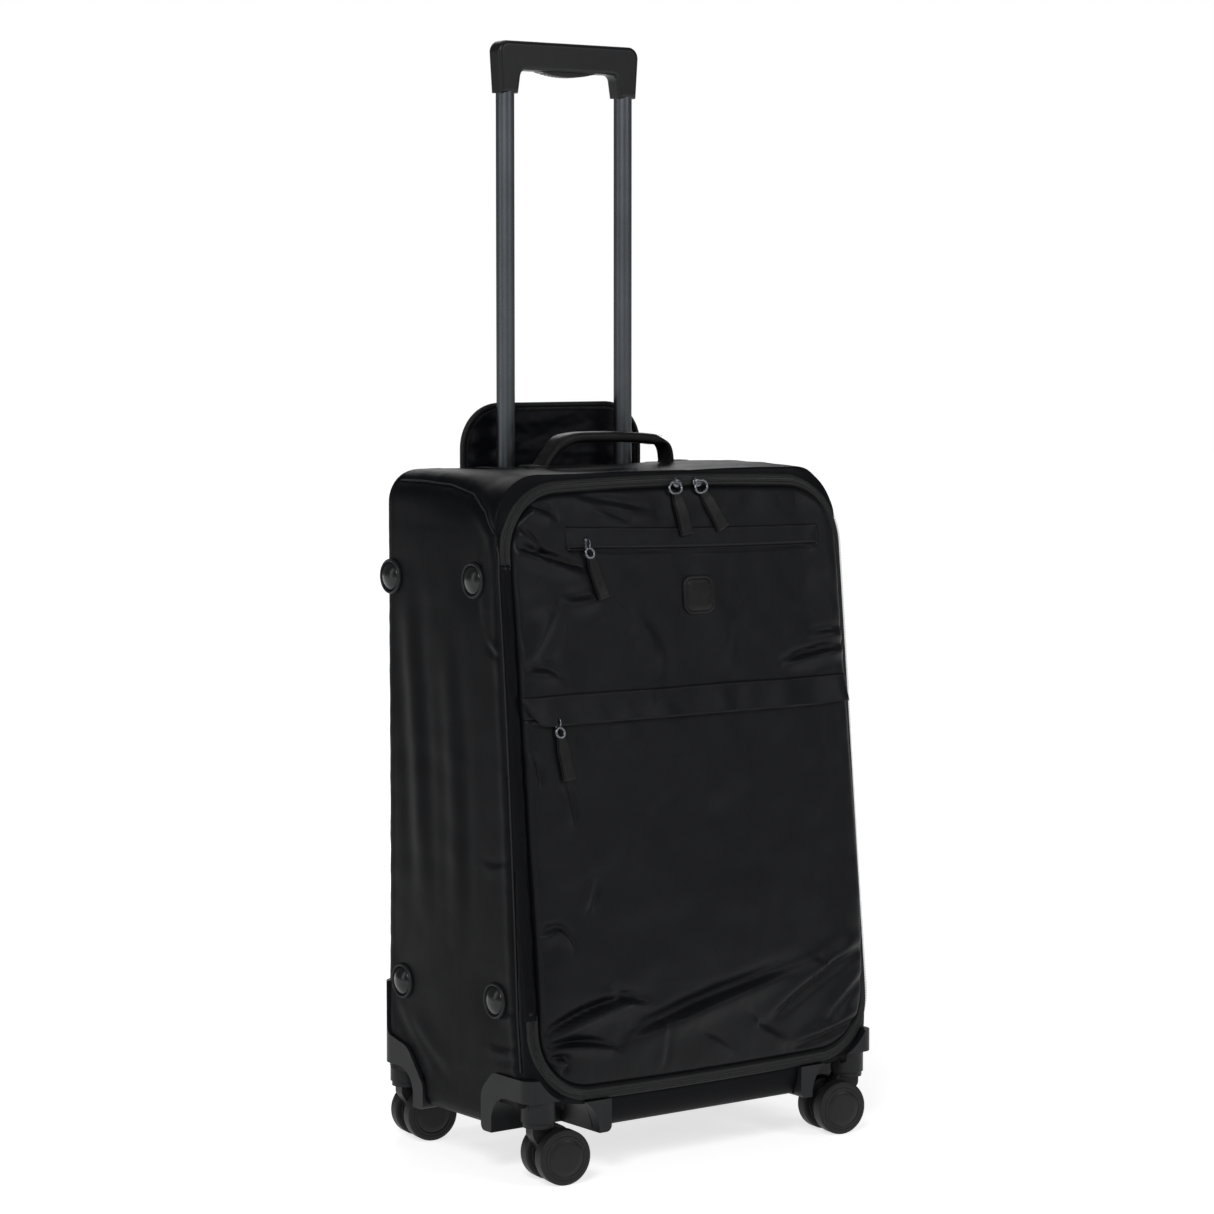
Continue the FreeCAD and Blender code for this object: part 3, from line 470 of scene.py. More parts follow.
def leather(name, colour):
    """Grained leather with fine pores, semi-gloss, worn a little shinier in patches."""
    material, nodes, links, shader = material_base(name, colour, 0.38, gloss=0.14)
    place = nodes.new("ShaderNodeTexCoord").outputs["Object"]
    grain = add_node(nodes, "ShaderNodeTexVoronoi", Scale=1100.0)
    links.new(place, grain.inputs["Vector"])
    pores = noise_factor(nodes, links, place, Scale=2400.0, Detail=3.0)
    height = maths(nodes, links, "ADD", grain.outputs["Distance"],
                   maths(nodes, links, "MULTIPLY", pores, 0.5))
    add_bump(nodes, links, shader, height, 0.35, 0.25 * MM)
    vary_colour(nodes, links, shader, place, colour, 0.25, 0.02)
    vary_roughness(nodes, links, shader, place, 0.28, 0.46, 0.012)
    return material


def moulded(name, colour, roughness, grain=0.18, size=1 / 1500, gloss=0.3):
    """Moulded plastic with a fine spark-eroded texture."""
    material, nodes, links, shader = material_base(name, colour, roughness, gloss=gloss)
    place = nodes.new("ShaderNodeTexCoord").outputs["Object"]
    speckle = noise_factor(nodes, links, place, Scale=1 / size, Detail=2.0)
    add_bump(nodes, links, shader, speckle, grain, 0.12 * MM)
    vary_colour(nodes, links, shader, place, colour, 0.12, 0.03)
    vary_roughness(nodes, links, shader, place, roughness - 0.05, roughness + 0.06, 0.02)
    return material


def metal(name, colour, roughness, brushed=0.0):
    """Plated or anodised metal, with faint lengthwise drawing marks if brushed."""
    material, nodes, links, shader = material_base(name, colour, roughness, 1.0)
    place = nodes.new("ShaderNodeTexCoord").outputs["Object"]
    stretch = nodes.new("ShaderNodeMapping")
    stretch.inputs["Scale"].default_value = (1, 1, 0.02) if brushed else (1, 1, 1)
    links.new(place, stretch.inputs["Vector"])
    marks = noise_factor(nodes, links, stretch.outputs["Vector"], Scale=1800.0, Detail=3.0)
    add_bump(nodes, links, shader, marks, 0.08 + brushed, 0.05 * MM)
    vary_colour(nodes, links, shader, place, colour, 0.08, 0.04)
    vary_roughness(nodes, links, shader, place, roughness - 0.04, roughness + 0.06, 0.015)
    return material


# The sides' and top's nylon is the lid's fabric made darker and less glossy: painted shade, which
# holds the more brightly lit sides and top down to the lid's tone.
NYLON_SHADED = woven("nylon", (0.0026, 0.0028, 0.0036), 0.42, 0.8 * MM, sheen=0.004, gloss=0.055)
NYLON_LID = woven("nylon_lid", (0.0034, 0.0036, 0.0046), 0.40, 0.8 * MM)
TAPE = woven("zip_tape", (0.0064, 0.0068, 0.0070), 0.52, 0.7 * MM, bump=0.5, gloss=0.22)
LINING = woven("lining", (0.0030, 0.0032, 0.0050), 0.45, 0.5 * MM, gloss=0.1)
LEATHER = leather("leather", (0.0070, 0.0070, 0.0074))
THREAD = moulded("thread", (0.012, 0.012, 0.013), 0.55, 0.3, 1 / 4000)
PLASTIC = moulded("moulded_plastic", (0.0090, 0.0094, 0.0106), 0.46, gloss=0.2)
PLASTIC_DARK = moulded("moulded_dark", (0.0100, 0.0104, 0.0100), 0.42, gloss=0.2)
GRIP_PLASTIC = moulded("grip_plastic", (0.0052, 0.0054, 0.0062), 0.36, 0.25, 1 / 2200, gloss=0.25)
STUD = moulded("stud_gloss", (0.0070, 0.0076, 0.0080), 0.24, 0.04, gloss=0.3)
TYRE = moulded("tyre_rubber", (0.0105, 0.0108, 0.0104), 0.50, 0.3, gloss=0.2)
TEETH = moulded("zip_teeth", (0.0085, 0.0090, 0.0090), 0.30, 0.1, gloss=0.4)
TUBE = metal("tube_gunmetal", (0.082, 0.090, 0.098), 0.40, brushed=0.01)
GUNMETAL = metal("fitting_gunmetal", (0.125, 0.132, 0.145), 0.27)
STEEL = metal("plain_steel", (0.45, 0.45, 0.46), 0.30)


def finish_piece(piece, body, slot_name, *nodes):
    """Put a piece on its body and let it stand for its CAD nodes, which are hidden; slot_name is
    not used.
    """
    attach(piece, body)
    if nodes:
        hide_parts(*nodes)


def displace(piece, field):
    """Move every point of a mesh along its own normal by what the field says for its place."""
    mesh = piece.data
    spots = np.zeros(len(mesh.vertices) * 3)
    mesh.vertices.foreach_get("co", spots)
    spots = spots.reshape(-1, 3)
    normals = np.zeros(len(mesh.vertices) * 3)
    mesh.vertices.foreach_get("normal", normals)
    normals = normals.reshape(-1, 3)
    mesh.vertices.foreach_set("co", (spots + normals * field(spots)[:, None]).ravel())
    mesh.update()


def crease(u, v, path, height, width, both=False):
    """A sewn-in fold: a ridge along a bent path with a hollow beside it, fading at its ends."""
    path = np.asarray(path, float)
    t = np.linspace(0, 1, 25)[:, None]
    if len(path) == 3:
        line = (1 - t) ** 2 * path[0] + 2 * t * (1 - t) * path[1] + t * t * path[2]
    else:
        line = path[0] + (path[-1] - path[0]) * t
    best = np.full(u.shape, 1e9)
    signed, share = np.zeros(u.shape), np.zeros(u.shape)
    for k in range(len(line) - 1):
        step = line[k + 1] - line[k]
        length = np.hypot(*step)
        du, dv = u - line[k, 0], v - line[k, 1]
        along = np.clip((du * step[0] + dv * step[1]) / length ** 2, 0, 1)
        gap = np.hypot(du - along * step[0], dv - along * step[1])
        closer = gap < best
        best = np.where(closer, gap, best)
        signed = np.where(closer, np.where(du * step[1] - dv * step[0] > 0, gap, -gap), signed)
        share = np.where(closer, (k + along) / (len(line) - 1), share)
    fade = np.sin(math.pi * np.clip(share, 0.02, 0.98)) ** 0.7
    slope = width if both else np.where(signed > 0, 1.6 * width, 0.62 * width)
    ridge = np.exp(-(signed / slope) ** 2)
    hollow = np.exp(-((signed + 1.15 * width) / (0.8 * width)) ** 2)
    if both:
        hollow = hollow + np.exp(-((signed - 1.15 * width) / (0.8 * width)) ** 2)
    return height * fade * (ridge - 0.95 * hollow)


# ---------------------------------------------------------------- simulated cloth

CLOTH_FRAMES = 30


class ClothPanel:
    """Slack that a sewn panel of cloth takes up, found by simulating the panel as a flat sheet
    held round its edges and along its seams, a little larger than what it is sewn to."""

    def __init__(self, name, low, high, slack, held=(), limit=0.7 * MM, step=5.0 * MM):
        self.low, self.high, self.limit = np.array(low), np.array(high), limit
        size = self.high - self.low
        self.columns, self.rows = (int(round(side / step)) + 1 for side in size)
        self.heights = np.zeros((self.rows, self.columns))
        self.simulate(name, slack, held, step)

    def simulate(self, name, slack, held, step):
        """Press the pinned sheet outwards and keep what is left of its fine unevenness."""
        a = np.linspace(self.low[0], self.high[0], self.columns)
        b = np.linspace(self.low[1], self.high[1], self.rows)
        a, b = np.meshgrid(a, b)
        start = 0.8 * MM * noise_at(np.stack([a.ravel(), b.ravel(), 0 * a.ravel()], 1), 0.03, 71.0)
        verts = np.stack([a.ravel(), b.ravel(), start], 1)
        sheet = add_mesh(name, verts, grid_faces(self.rows, self.columns), NYLON_SHADED)
        edge = np.zeros(a.shape, bool)
        edge[[0, -1], :] = True
        edge[:, [0, -1]] = True
        for line in held:
            for spot in resample(line, step / 2):
                edge |= np.hypot(a - spot[0], b - spot[1]) < step * 0.75
        pins = sheet.vertex_groups.new(name="pins")
        pins.add([int(i) for i in np.flatnonzero(edge.ravel())], 1.0, "REPLACE")
        cloth = sheet.modifiers.new("cloth", "CLOTH")
        settings = cloth.settings
        settings.quality = 6
        settings.mass = 0.12
        settings.tension_stiffness = settings.compression_stiffness = 12
        settings.shear_stiffness = 4
        settings.bending_stiffness = 4.0
        settings.shrink_min = -slack
        settings.vertex_group_mass = "pins"
        settings.use_pressure = True
        settings.uniform_pressure_force = 0.8
        settings.effector_weights.gravity = 0
        cloth.collision_settings.use_collision = False
        scene = bpy.context.scene
        for number in range(1, CLOTH_FRAMES + 1):
            scene.frame_set(number)
        apply_modifiers(sheet)
        found = np.array([vert.co.z for vert in sheet.data.vertices]).reshape(a.shape)
        scene.frame_set(1)
        bpy.data.objects.remove(sheet, do_unlink=True)
        found = self.blurred(found - self.blurred(found, round(40 * MM / step)), 2)
        found *= self.limit / max(float(np.percentile(np.abs(found), 97)), self.limit / 3)
        self.heights = 1.6 * self.limit * np.tanh(found / (1.6 * self.limit))

    @staticmethod
    def blurred(field, reach):
        """The field averaged over a reach of points each way."""
        kernel = np.hanning(2 * reach + 1)
        kernel /= kernel.sum()
        for axis in (0, 1):
            field = np.apply_along_axis(
                lambda row: np.convolve(np.pad(row, reach, mode="edge"), kernel, "valid"),
                axis, field)
        return field

    def lift(self, a, b):
        """The height at places on the panel, fading to nothing at its edges."""
        at_a = np.clip((a - self.low[0]) / (self.high[0] - self.low[0]), 0, 1) * (self.columns - 1)
        at_b = np.clip((b - self.low[1]) / (self.high[1] - self.low[1]), 0, 1) * (self.rows - 1)
        i = np.minimum(at_a.astype(int), self.columns - 2)
        j = np.minimum(at_b.astype(int), self.rows - 2)
        u, v = smooth(at_a - i), smooth(at_b - j)
        grid = self.heights
        return ((grid[j, i] * (1 - u) + grid[j, i + 1] * u) * (1 - v)
                + (grid[j + 1, i] * (1 - u) + grid[j + 1, i + 1] * u) * v)


# ---------------------------------------------------------------- the case's skin

SIDE_FEET = [(0.104, 0.549), (-0.035, 0.553), (0.087, 0.161), (-0.069, 0.166)]
WELL_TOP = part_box("caster_sockets")[1].z
CORNER_SEAM = [(-0.0760, 0.560), (-0.0750, 0.578), (-0.0680, 0.598), (-0.0500, 0.617),
               (-0.0200, 0.632), (0.0200, 0.639), (0.0600, 0.641), (0.1000, 0.641)]
RIGHT_SETBACK = 9.0 * MM                # how far the case's border turns back on the right
SIDE_FOLDS = [
    # path down the side panel as (y, z); height and width in mm; hollow on both sides
    ([(0.078, 0.545), (0.060, 0.40), (0.048, 0.24)], 2.2, 17, True),
    ([(0.010, 0.50), (-0.012, 0.36), (-0.010, 0.22)], 1.2, 15, True),
    ([(0.098, 0.150), (0.075, 0.118), (0.030, 0.080)], 1.4, 9, False),
    ([(0.070, 0.135), (0.040, 0.105), (0.000, 0.085)], 1.2, 8, False),
    ([(-0.062, 0.585), (-0.044, 0.560), (-0.052, 0.520)], 1.3, 6, False),
    ([(-0.060, 0.500), (-0.072, 0.488), (-0.085, 0.492)], 1.2, 4, False),
    ([(-0.104, 0.160), (-0.090, 0.150), (-0.078, 0.151)], 1.5, 4, False),
    ([(-0.108, 0.128), (-0.085, 0.116), (-0.058, 0.121)], 1.6, 4, False),
    ([(-0.109, 0.112), (-0.090, 0.105), (-0.064, 0.106)], 1.3, 4, False),
    ([(-0.100, 0.30), (-0.080, 0.285), (-0.050, 0.29)], 0.9, 5, False),
]
WHEEL_WELL = (0.088, 0.070, 0.006)      # a caster's space: wide, deep, and short of WELL_TOP
TAB_X = 0.084                           # how far out the top handle's end tabs are


def front_setback(up):
    """How far the side panels' front seam is behind the lid's plane, at a height up the lid."""
    return 3.5 * MM + 11.5 * MM * (np.clip(0.5 - up, 0, 0.42) / 0.42) ** 2


def right_turn(x, z):
    """0 to 1 where the case's border turns away behind the lid, down the right side."""
    return smooth((np.asarray(x, float) - 0.14) / 0.05) * smooth((z - 0.10) / 0.06)


def front_line(z, x=0.0):
    """How far forward the side panels reach at a height: a little behind the leaning lid."""
    up = (z - LID_ORIGIN[2]) / UP[2]
    lean = LID_ORIGIN[1] + np.maximum(z - LID_ORIGIN[2], 0) * UP[1] / UP[2]
    return lean + front_setback(up) + RIGHT_SETBACK * right_turn(x, z)


def beyond_outline(x, z, top_corner=TOP_CORNER):
    """Distance outside the case's outline, seen from the front; negative inside it."""
    radius = np.where(z > (TOP + BOTTOM) / 2, top_corner, FOOT_CORNER)
    over_x = np.abs(x) - (HALF - radius)
    over_z = np.abs(z - (TOP + BOTTOM) / 2) - ((TOP - BOTTOM) / 2 - radius)
    outside = np.hypot(np.maximum(over_x, 0), np.maximum(over_z, 0))
    return outside + np.minimum(np.maximum(over_x, over_z), 0) - radius


def case_outline(count, top_corner=TOP_CORNER):
    """Where lines square to the zip line meet the case's outline, and the outline's normals."""
    start, heading = lid_ring(0.0, count)
    x, z = start[:, 0].copy(), LID_ORIGIN[2] + start[:, 1] * UP[2]
    for _ in range(60):
        gap = -beyond_outline(x, z, top_corner)
        x += heading[:, 0] * gap
        z += heading[:, 1] * gap
    step = 0.02 * MM
    nx = beyond_outline(x + step, z, top_corner) - beyond_outline(x - step, z, top_corner)
    nz = beyond_outline(x, z + step, top_corner) - beyond_outline(x, z - step, top_corner)
    size = np.hypot(nx, nz)
    return x, z, nx / size, nz / size


def squarer(y):
    """0 at the front of the case and 1 at its back, where its top corners are tighter."""
    return smooth((np.asarray(y, float) + 0.04) / 0.12)


def side_x(y, z):
    """Half the case's width at a depth and height, round its top corners."""
    widths = []
    for radius in (TOP_CORNER, BACK_CORNER):
        over = np.maximum(z - (TOP - radius), 0)
        widths.append(HALF - radius + np.sqrt(np.maximum(radius ** 2 - over ** 2, 0)))
    return widths[0] + (widths[1] - widths[0]) * squarer(y)


def near_feet(y, z, reach):
    """1 beside a side foot, falling to 0 away from it."""
    return sum(np.exp(-(np.hypot(y - fy, z - fz) / reach) ** 2) for fy, fz in SIDE_FEET)


def case_relief(spots):
    """How far the case's soft skin stands off its plain shape."""
    x, y, z = spots.T
    side = smooth((np.abs(x) - 0.193) / 0.010)
    top = smooth((z - 0.640) / 0.008) * (1 - side)
    back = smooth((y - (BACK - 4 * MM)) / (3 * MM))
    front = front_line(z, x)
    deep = np.clip((y - front) / (BACK - BACK_ROUND - front), 0, 1)
    tall = np.clip((z - 0.09) / (0.60 - 0.09), 0, 1)
    puff = 3.2 * MM * np.sin(math.pi * deep) ** 0.8 * np.sin(math.pi * tall) ** 0.5
    left = x < 0
    drape = noise_at(np.stack([y / 0.075, z / 0.34, x * 20], 1), 1.0, 3.0) * 1.2 * MM
    drape += SIDE_CLOTH.lift(np.where(left, y, -y), z)
    ripple = noise_at(np.stack([y / 0.018, z / 0.05, x * 20], 1), 1.0, 5.0) * 0.15 * MM
    ridges = sum(crease(y, z, path, height * MM, width * MM, both)
                 for path, height, width, both in SIDE_FOLDS)
    calm = 1 - np.clip(near_feet(y, z, 26 * MM), 0, 1)
    dimple = near_feet(y, z, 20 * MM) * 0.8 * MM
    grip_rest = np.exp(-((y / 0.024) ** 2)) * smooth((0.49 - z) / 0.02)
    handle_calm = np.where(left, 1.0, 1 - 0.8 * grip_rest)
    sides = side * ((puff + drape * np.sin(math.pi * tall) + ripple + ridges)
                    * calm * handle_calm - dimple)
    tops = top * (top_mound(x, y)
                  + noise_at(np.stack([x / 0.06, y / 0.025, z * 20], 1), 1.0, 7.0) * 0.7 * MM)
    backs = back * (noise_at(np.stack([x / 0.07, z / 0.16, y * 20], 1), 1.0, 9.0) * 1.0 * MM)
    return sides + tops + backs + seam_relief(x, y, z)


def top_mound(x, y):
    """How far the soft top panel bulges up: most to the right of the handle."""
    right = 5.2 * np.exp(-((x - 0.105) / 0.080) ** 2) * np.exp(-((y - 0.015) / 0.075) ** 2)
    left = 1.8 * np.exp(-((x + 0.140) / 0.040) ** 2) * np.exp(-((y - 0.02) / 0.06) ** 2)
    tab = 3.0 * np.exp(-((x + 0.086) / 0.016) ** 2) * np.exp(-((y - 0.038) / 0.022) ** 2)
    return (right + left + tab) * MM


def seam_relief(x, y, z):
    """The valley along the seams of the case, with the cloth rising softly on both sides."""
    gap = np.full(x.shape, 1.0)
    line = resample(CORNER_SEAM, 2 * MM)
    back = RIGHT_SETBACK * right_turn(x, z)
    for sy, sz in line:
        gap = np.minimum(gap, np.hypot(y - back - sy, z - sz))
    gap = np.where(z > 0.56, gap, np.abs(y - front_line(z, x)))
    gap = np.where(np.abs(x) > 0.150, gap, 1.0)
    gap = np.minimum(gap, np.abs(y - (BACK - 6 * MM)) + 0.3 * MM)
    puckers = noise_at(np.stack([x * 90, y * 90, z * 90], 1), 1.0, 11.0)
    valley = -1.6 * MM * np.exp(-(gap / (2.6 * MM)) ** 2)
    rise = 0.9 * MM * np.exp(-((gap - 8 * MM) / (5 * MM)) ** 2)
    return valley + rise + 0.5 * MM * puckers * np.exp(-gap / (9 * MM))


def in_wheel_well(centres):
    """True for places inside the arched spaces that the casters turn in."""
    x, y, z = np.abs(centres[:, 0]), np.abs(centres[:, 1]), centres[:, 2]
    wide, deep, short = WHEEL_WELL
    return (x > HALF - wide) & (y > BACK - deep) & (z < WELL_TOP - short)


def make_case_skin():
    """The sewn shell: front strip, sides, top, bottom and back, in one soft skin."""
    deep = BACK - BACK_ROUND
    front_x, front_z, _, _ = case_outline(CASE_POINTS)
    x, z, nx, nz = case_outline(CASE_POINTS, BACK_CORNER)
    count = len(x)
    tape, _ = lid_ring(-3.0 * MM, CASE_POINTS)
    start = lid_point(tape[:, 0], -4.5 * MM, tape[:, 1])
    start[:, 1] += 0.5 * RIGHT_SETBACK * right_turn(tape[:, 0], start[:, 2])
    stop = np.stack([front_x, front_line(front_z, front_x), front_z], 1)
    reach = 0.75
    turn = np.stack([tape[:, 0] + reach * (front_x - tape[:, 0]), start[:, 1] + 1 * MM,
                     start[:, 2] + reach * (front_z - start[:, 2])], 1)
    rows = [(1 - t) ** 2 * start + 2 * t * (1 - t) * turn + t * t * stop
            for t in np.linspace(0, 1, 9)[:-1]]
    for t in np.linspace(0, 1, 76):
        y = stop[:, 1] + (deep - stop[:, 1]) * t
        share = squarer(y)
        rows.append(np.stack([front_x + (x - front_x) * share, y,
                              front_z + (z - front_z) * share], 1))
    for angle in np.linspace(0, math.pi / 2, 10)[1:]:
        near_foot = smooth((0.25 - z) / 0.12)
        most = BACK_ROUND + (min(0.9 * FOOT_CORNER, BACK_ROUND) - BACK_ROUND) * near_foot
        inset = most * (1 - math.cos(angle))
        rows.append(np.stack([x - nx * inset, np.full(count, deep + BACK_ROUND * math.sin(angle)),
                              z - nz * inset], 1))
    middle = np.stack([np.zeros(count), np.full(count, BACK), np.clip(z, 0.24, 0.46)], 1)
    last = rows[-1]
    rows.extend(last + (middle - last) * t for t in np.linspace(0, 1, 46)[1:])
    verts = np.concatenate(rows)
    faces = np.array(grid_faces(len(rows), count, closed=True))
    centres = verts[faces].mean(1)
    in_tray = ((np.abs(centres[:, 0]) < WELL[1].x) & (centres[:, 1] > WELL[0].y)
               & (centres[:, 1] < WELL[1].y) & (centres[:, 2] > 0.62))
    kept = faces[~(in_wheel_well(centres) | in_tray)]
    skin = add_mesh("case_skin", verts, kept, NYLON_SHADED, merge=0.05 * MM)
    face_outwards(skin, Vector((0, 0, 0.34)))
    displace(skin, case_relief)
    skin.data.materials.append(LINING)
    solid = skin.modifiers.new("cloth", "SOLIDIFY")
    solid.thickness = 2.4 * MM
    solid.offset = -1
    solid.material_offset = 1
    apply_modifiers(skin)
    finish_piece(skin, "case", "shell_fabric", "front_rim", "back_panel", "side_panel_left",
                 "side_panel_right", "top_panel", "bottom_panel")


def face_outwards(piece, inner):
    """Flip the mesh if its faces look towards an inner point."""
    mesh = piece.data
    votes = sum((face.center - inner).dot(face.normal) * face.area for face in mesh.polygons)
    if votes < 0:
        mesh.flip_normals()
    mesh.update()


def make_case_piping():
    """The cord sewn along the seams of the two side panels."""
    for sign, side in ((-1, "left"), (1, "right")):
        front = [(front_line(np.array(z), sign * HALF) + 0.4 * MM, z)
                 for z in np.arange(0.105, 0.560, 0.004)]
        back = RIGHT_SETBACK * right_turn(sign * HALF, 0.6)
        corner = [(y + back, z) for y, z in CORNER_SEAM[1:]]
        line = resample([(float(y), float(z)) for y, z in front + corner], 3 * MM)
        y, z = line[:, 0], line[:, 1]
        x = side_x(y, z) - 0.7 * MM
        cord = sweep(f"side_piping_{side}", np.stack([sign * x, y, z], 1),
                     oval(2.0 * MM, 2.0 * MM, 8), TAPE)
        finish_piece(cord, "case", "shell_fabric")


# ---------------------------------------------------------------- the zip

LID_TRIM = 0.0078                       # lid tape's inner edge, inside the coil line


def zip_stretch(points):
    """The stretch of a ring from the zip's top left end, over the top and right, to its foot."""
    on_left = points[:, 0] < -ZIP_HALF + 0.02
    hinge = on_left & (points[:, 1] > ZIP_FOOT) & (points[:, 1] < ZIP_HEAD)
    first = np.flatnonzero(hinge)[-1] + 1
    kept = [(first + k) % len(points) for k in range(len(points) - int(hinge.sum()))]
    return np.array(kept)[::-1] if points[kept[0], 1] < points[kept[-1], 1] else np.array(kept)


def band(name, profile, only):
    """A tape along a stretch of the zip line; its profile gives (inset, out) in mm across it."""
    rows = []
    for inset, out in profile:
        points, _ = lid_ring(inset * MM)
        x, up = points[only, 0], points[only, 1]
        turned = 1.5 * min(inset * MM, 0.0) * right_turn(x, LID_ORIGIN[2] + up)
        rows.append(lid_point(x, out * MM + turned, up))
    return add_mesh(name, np.concatenate(rows), grid_faces(len(rows), len(rows[0])), TAPE)


def make_zip():
    """The main zip: a tape and half of the coil on the case, and the same on the lid."""
    line, _ = lid_ring(0.0)
    only = zip_stretch(line)
    case_tape = band("case_zip_tape", [(-5.6, -7.0), (-4.8, -4.6), (-4.0, -3.4), (-3.4, -2.9),
                                       (-2.9, -3.3), (-2.2, -2.8), (-1.4, -2.4), (-0.2, -2.3),
                                       (-0.1, -3.4)], only)
    lid_tape = band("lid_zip_tape", [(0.1, -3.4), (0.2, -2.2), (1.6, -2.0), (2.5, -2.2),
                                     (3.2, -1.5), (4.4, -1.2), (5.2, -2.2), (6.0, -3.8),
                                     (7.6, -5.0)], only)
    for tape in (case_tape, lid_tape):
        thicken(tape, 0.5 * MM)
    finish_piece(case_tape, "case", "zip", "case_zip_half")
    finish_piece(lid_tape, "lid", "zip", "lid_zip_half")
    verts, faces = capsule(0.75 * MM, 3.4 * MM, 1.5 * MM)
    pitch = 1.55 * MM
    coil = resample(np.stack([line[only, 0], line[only, 1]], 1), pitch)
    along = unit_rows(np.gradient(coil, axis=0))
    inward = np.stack([along[:, 1], -along[:, 0]], 1)
    if (inward[len(inward) // 4] * coil[len(coil) // 4]).sum() > 0:
        inward = -inward
    for body, name, sign, shift in (("case", "case_zip_coil", -1, 0.0),
                                    ("lid", "lid_zip_coil", 1, pitch / 2)):
        places = []
        for k in range(len(coil)):
            spot = coil[k] + along[k] * shift + inward[k] * sign * 0.95 * MM
            places.append((lid_point(spot[0], -1.75 * MM, spot[1]),
                           along[k, 0] * SIDE + along[k, 1] * UP,
                           inward[k, 0] * SIDE + inward[k, 1] * UP, OUT))
        teeth = copies(name, verts, faces, places, TEETH)
        finish_piece(teeth, body, "zip")
    for height, end in ((ZIP_HEAD, "top"), (ZIP_FOOT, "foot")):
        stop = [lid_point(x, -1.5 * MM, height) for x in
                ZIP_SHIFT - ZIP_HALF + np.linspace(-4 * MM, 4.5 * MM, 6)]
        bar = sweep(f"zip_end_{end}", stop, oval(3.4 * MM, 1.2 * MM, 10), TAPE, up=OUT)
        finish_piece(bar, "case", "zip")


def make_hinge_strip():
    """The strip of cloth down the left side that the lid turns on."""
    heights = np.arange(ZIP_FOOT - 6 * MM, ZIP_HEAD + 6 * MM, 3 * MM)
    profile = [(-6.6, -10.0), (-6.3, -6.6), (-5.6, -4.4), (-4.4, -3.0), (-2.8, -2.1), (-1.0, -1.5),
               (1.0, -1.2), (2.8, -1.2), (4.2, -1.7), (5.2, -2.9), (6.0, -4.6)]
    rows = []
    for inset, out in profile:
        shade = noise_at(np.stack([heights / 0.016 + inset * 0.25, heights * 0 + inset / 2.5,
                                   heights * 0], 1), 1.0, 21.0)
        puff = (out + 2.3 * shade * math.sin(math.pi * (inset + 6.6) / 12.6)) * MM
        edge = -front_setback(heights) - 1.0 * MM
        if inset < -6:
            puff = np.minimum(puff, edge)
        rows.append(lid_point(ZIP_SHIFT - ZIP_HALF + inset * MM, puff, heights))
    strip = add_mesh("hinge_cloth", np.concatenate(rows), grid_faces(len(rows), len(heights)),
                     NYLON_SHADED)
    thicken(strip, 0.8 * MM)
    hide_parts("hinge_strip")
    start = lid_point(ZIP_SHIFT - ZIP_HALF - 3.6 * MM, 0.0, 0.28)
    stop = lid_point(ZIP_SHIFT - ZIP_HALF + 4.0 * MM, 0.0, 0.28)
    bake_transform(strip)


# ---------------------------------------------------------------- the lid's face

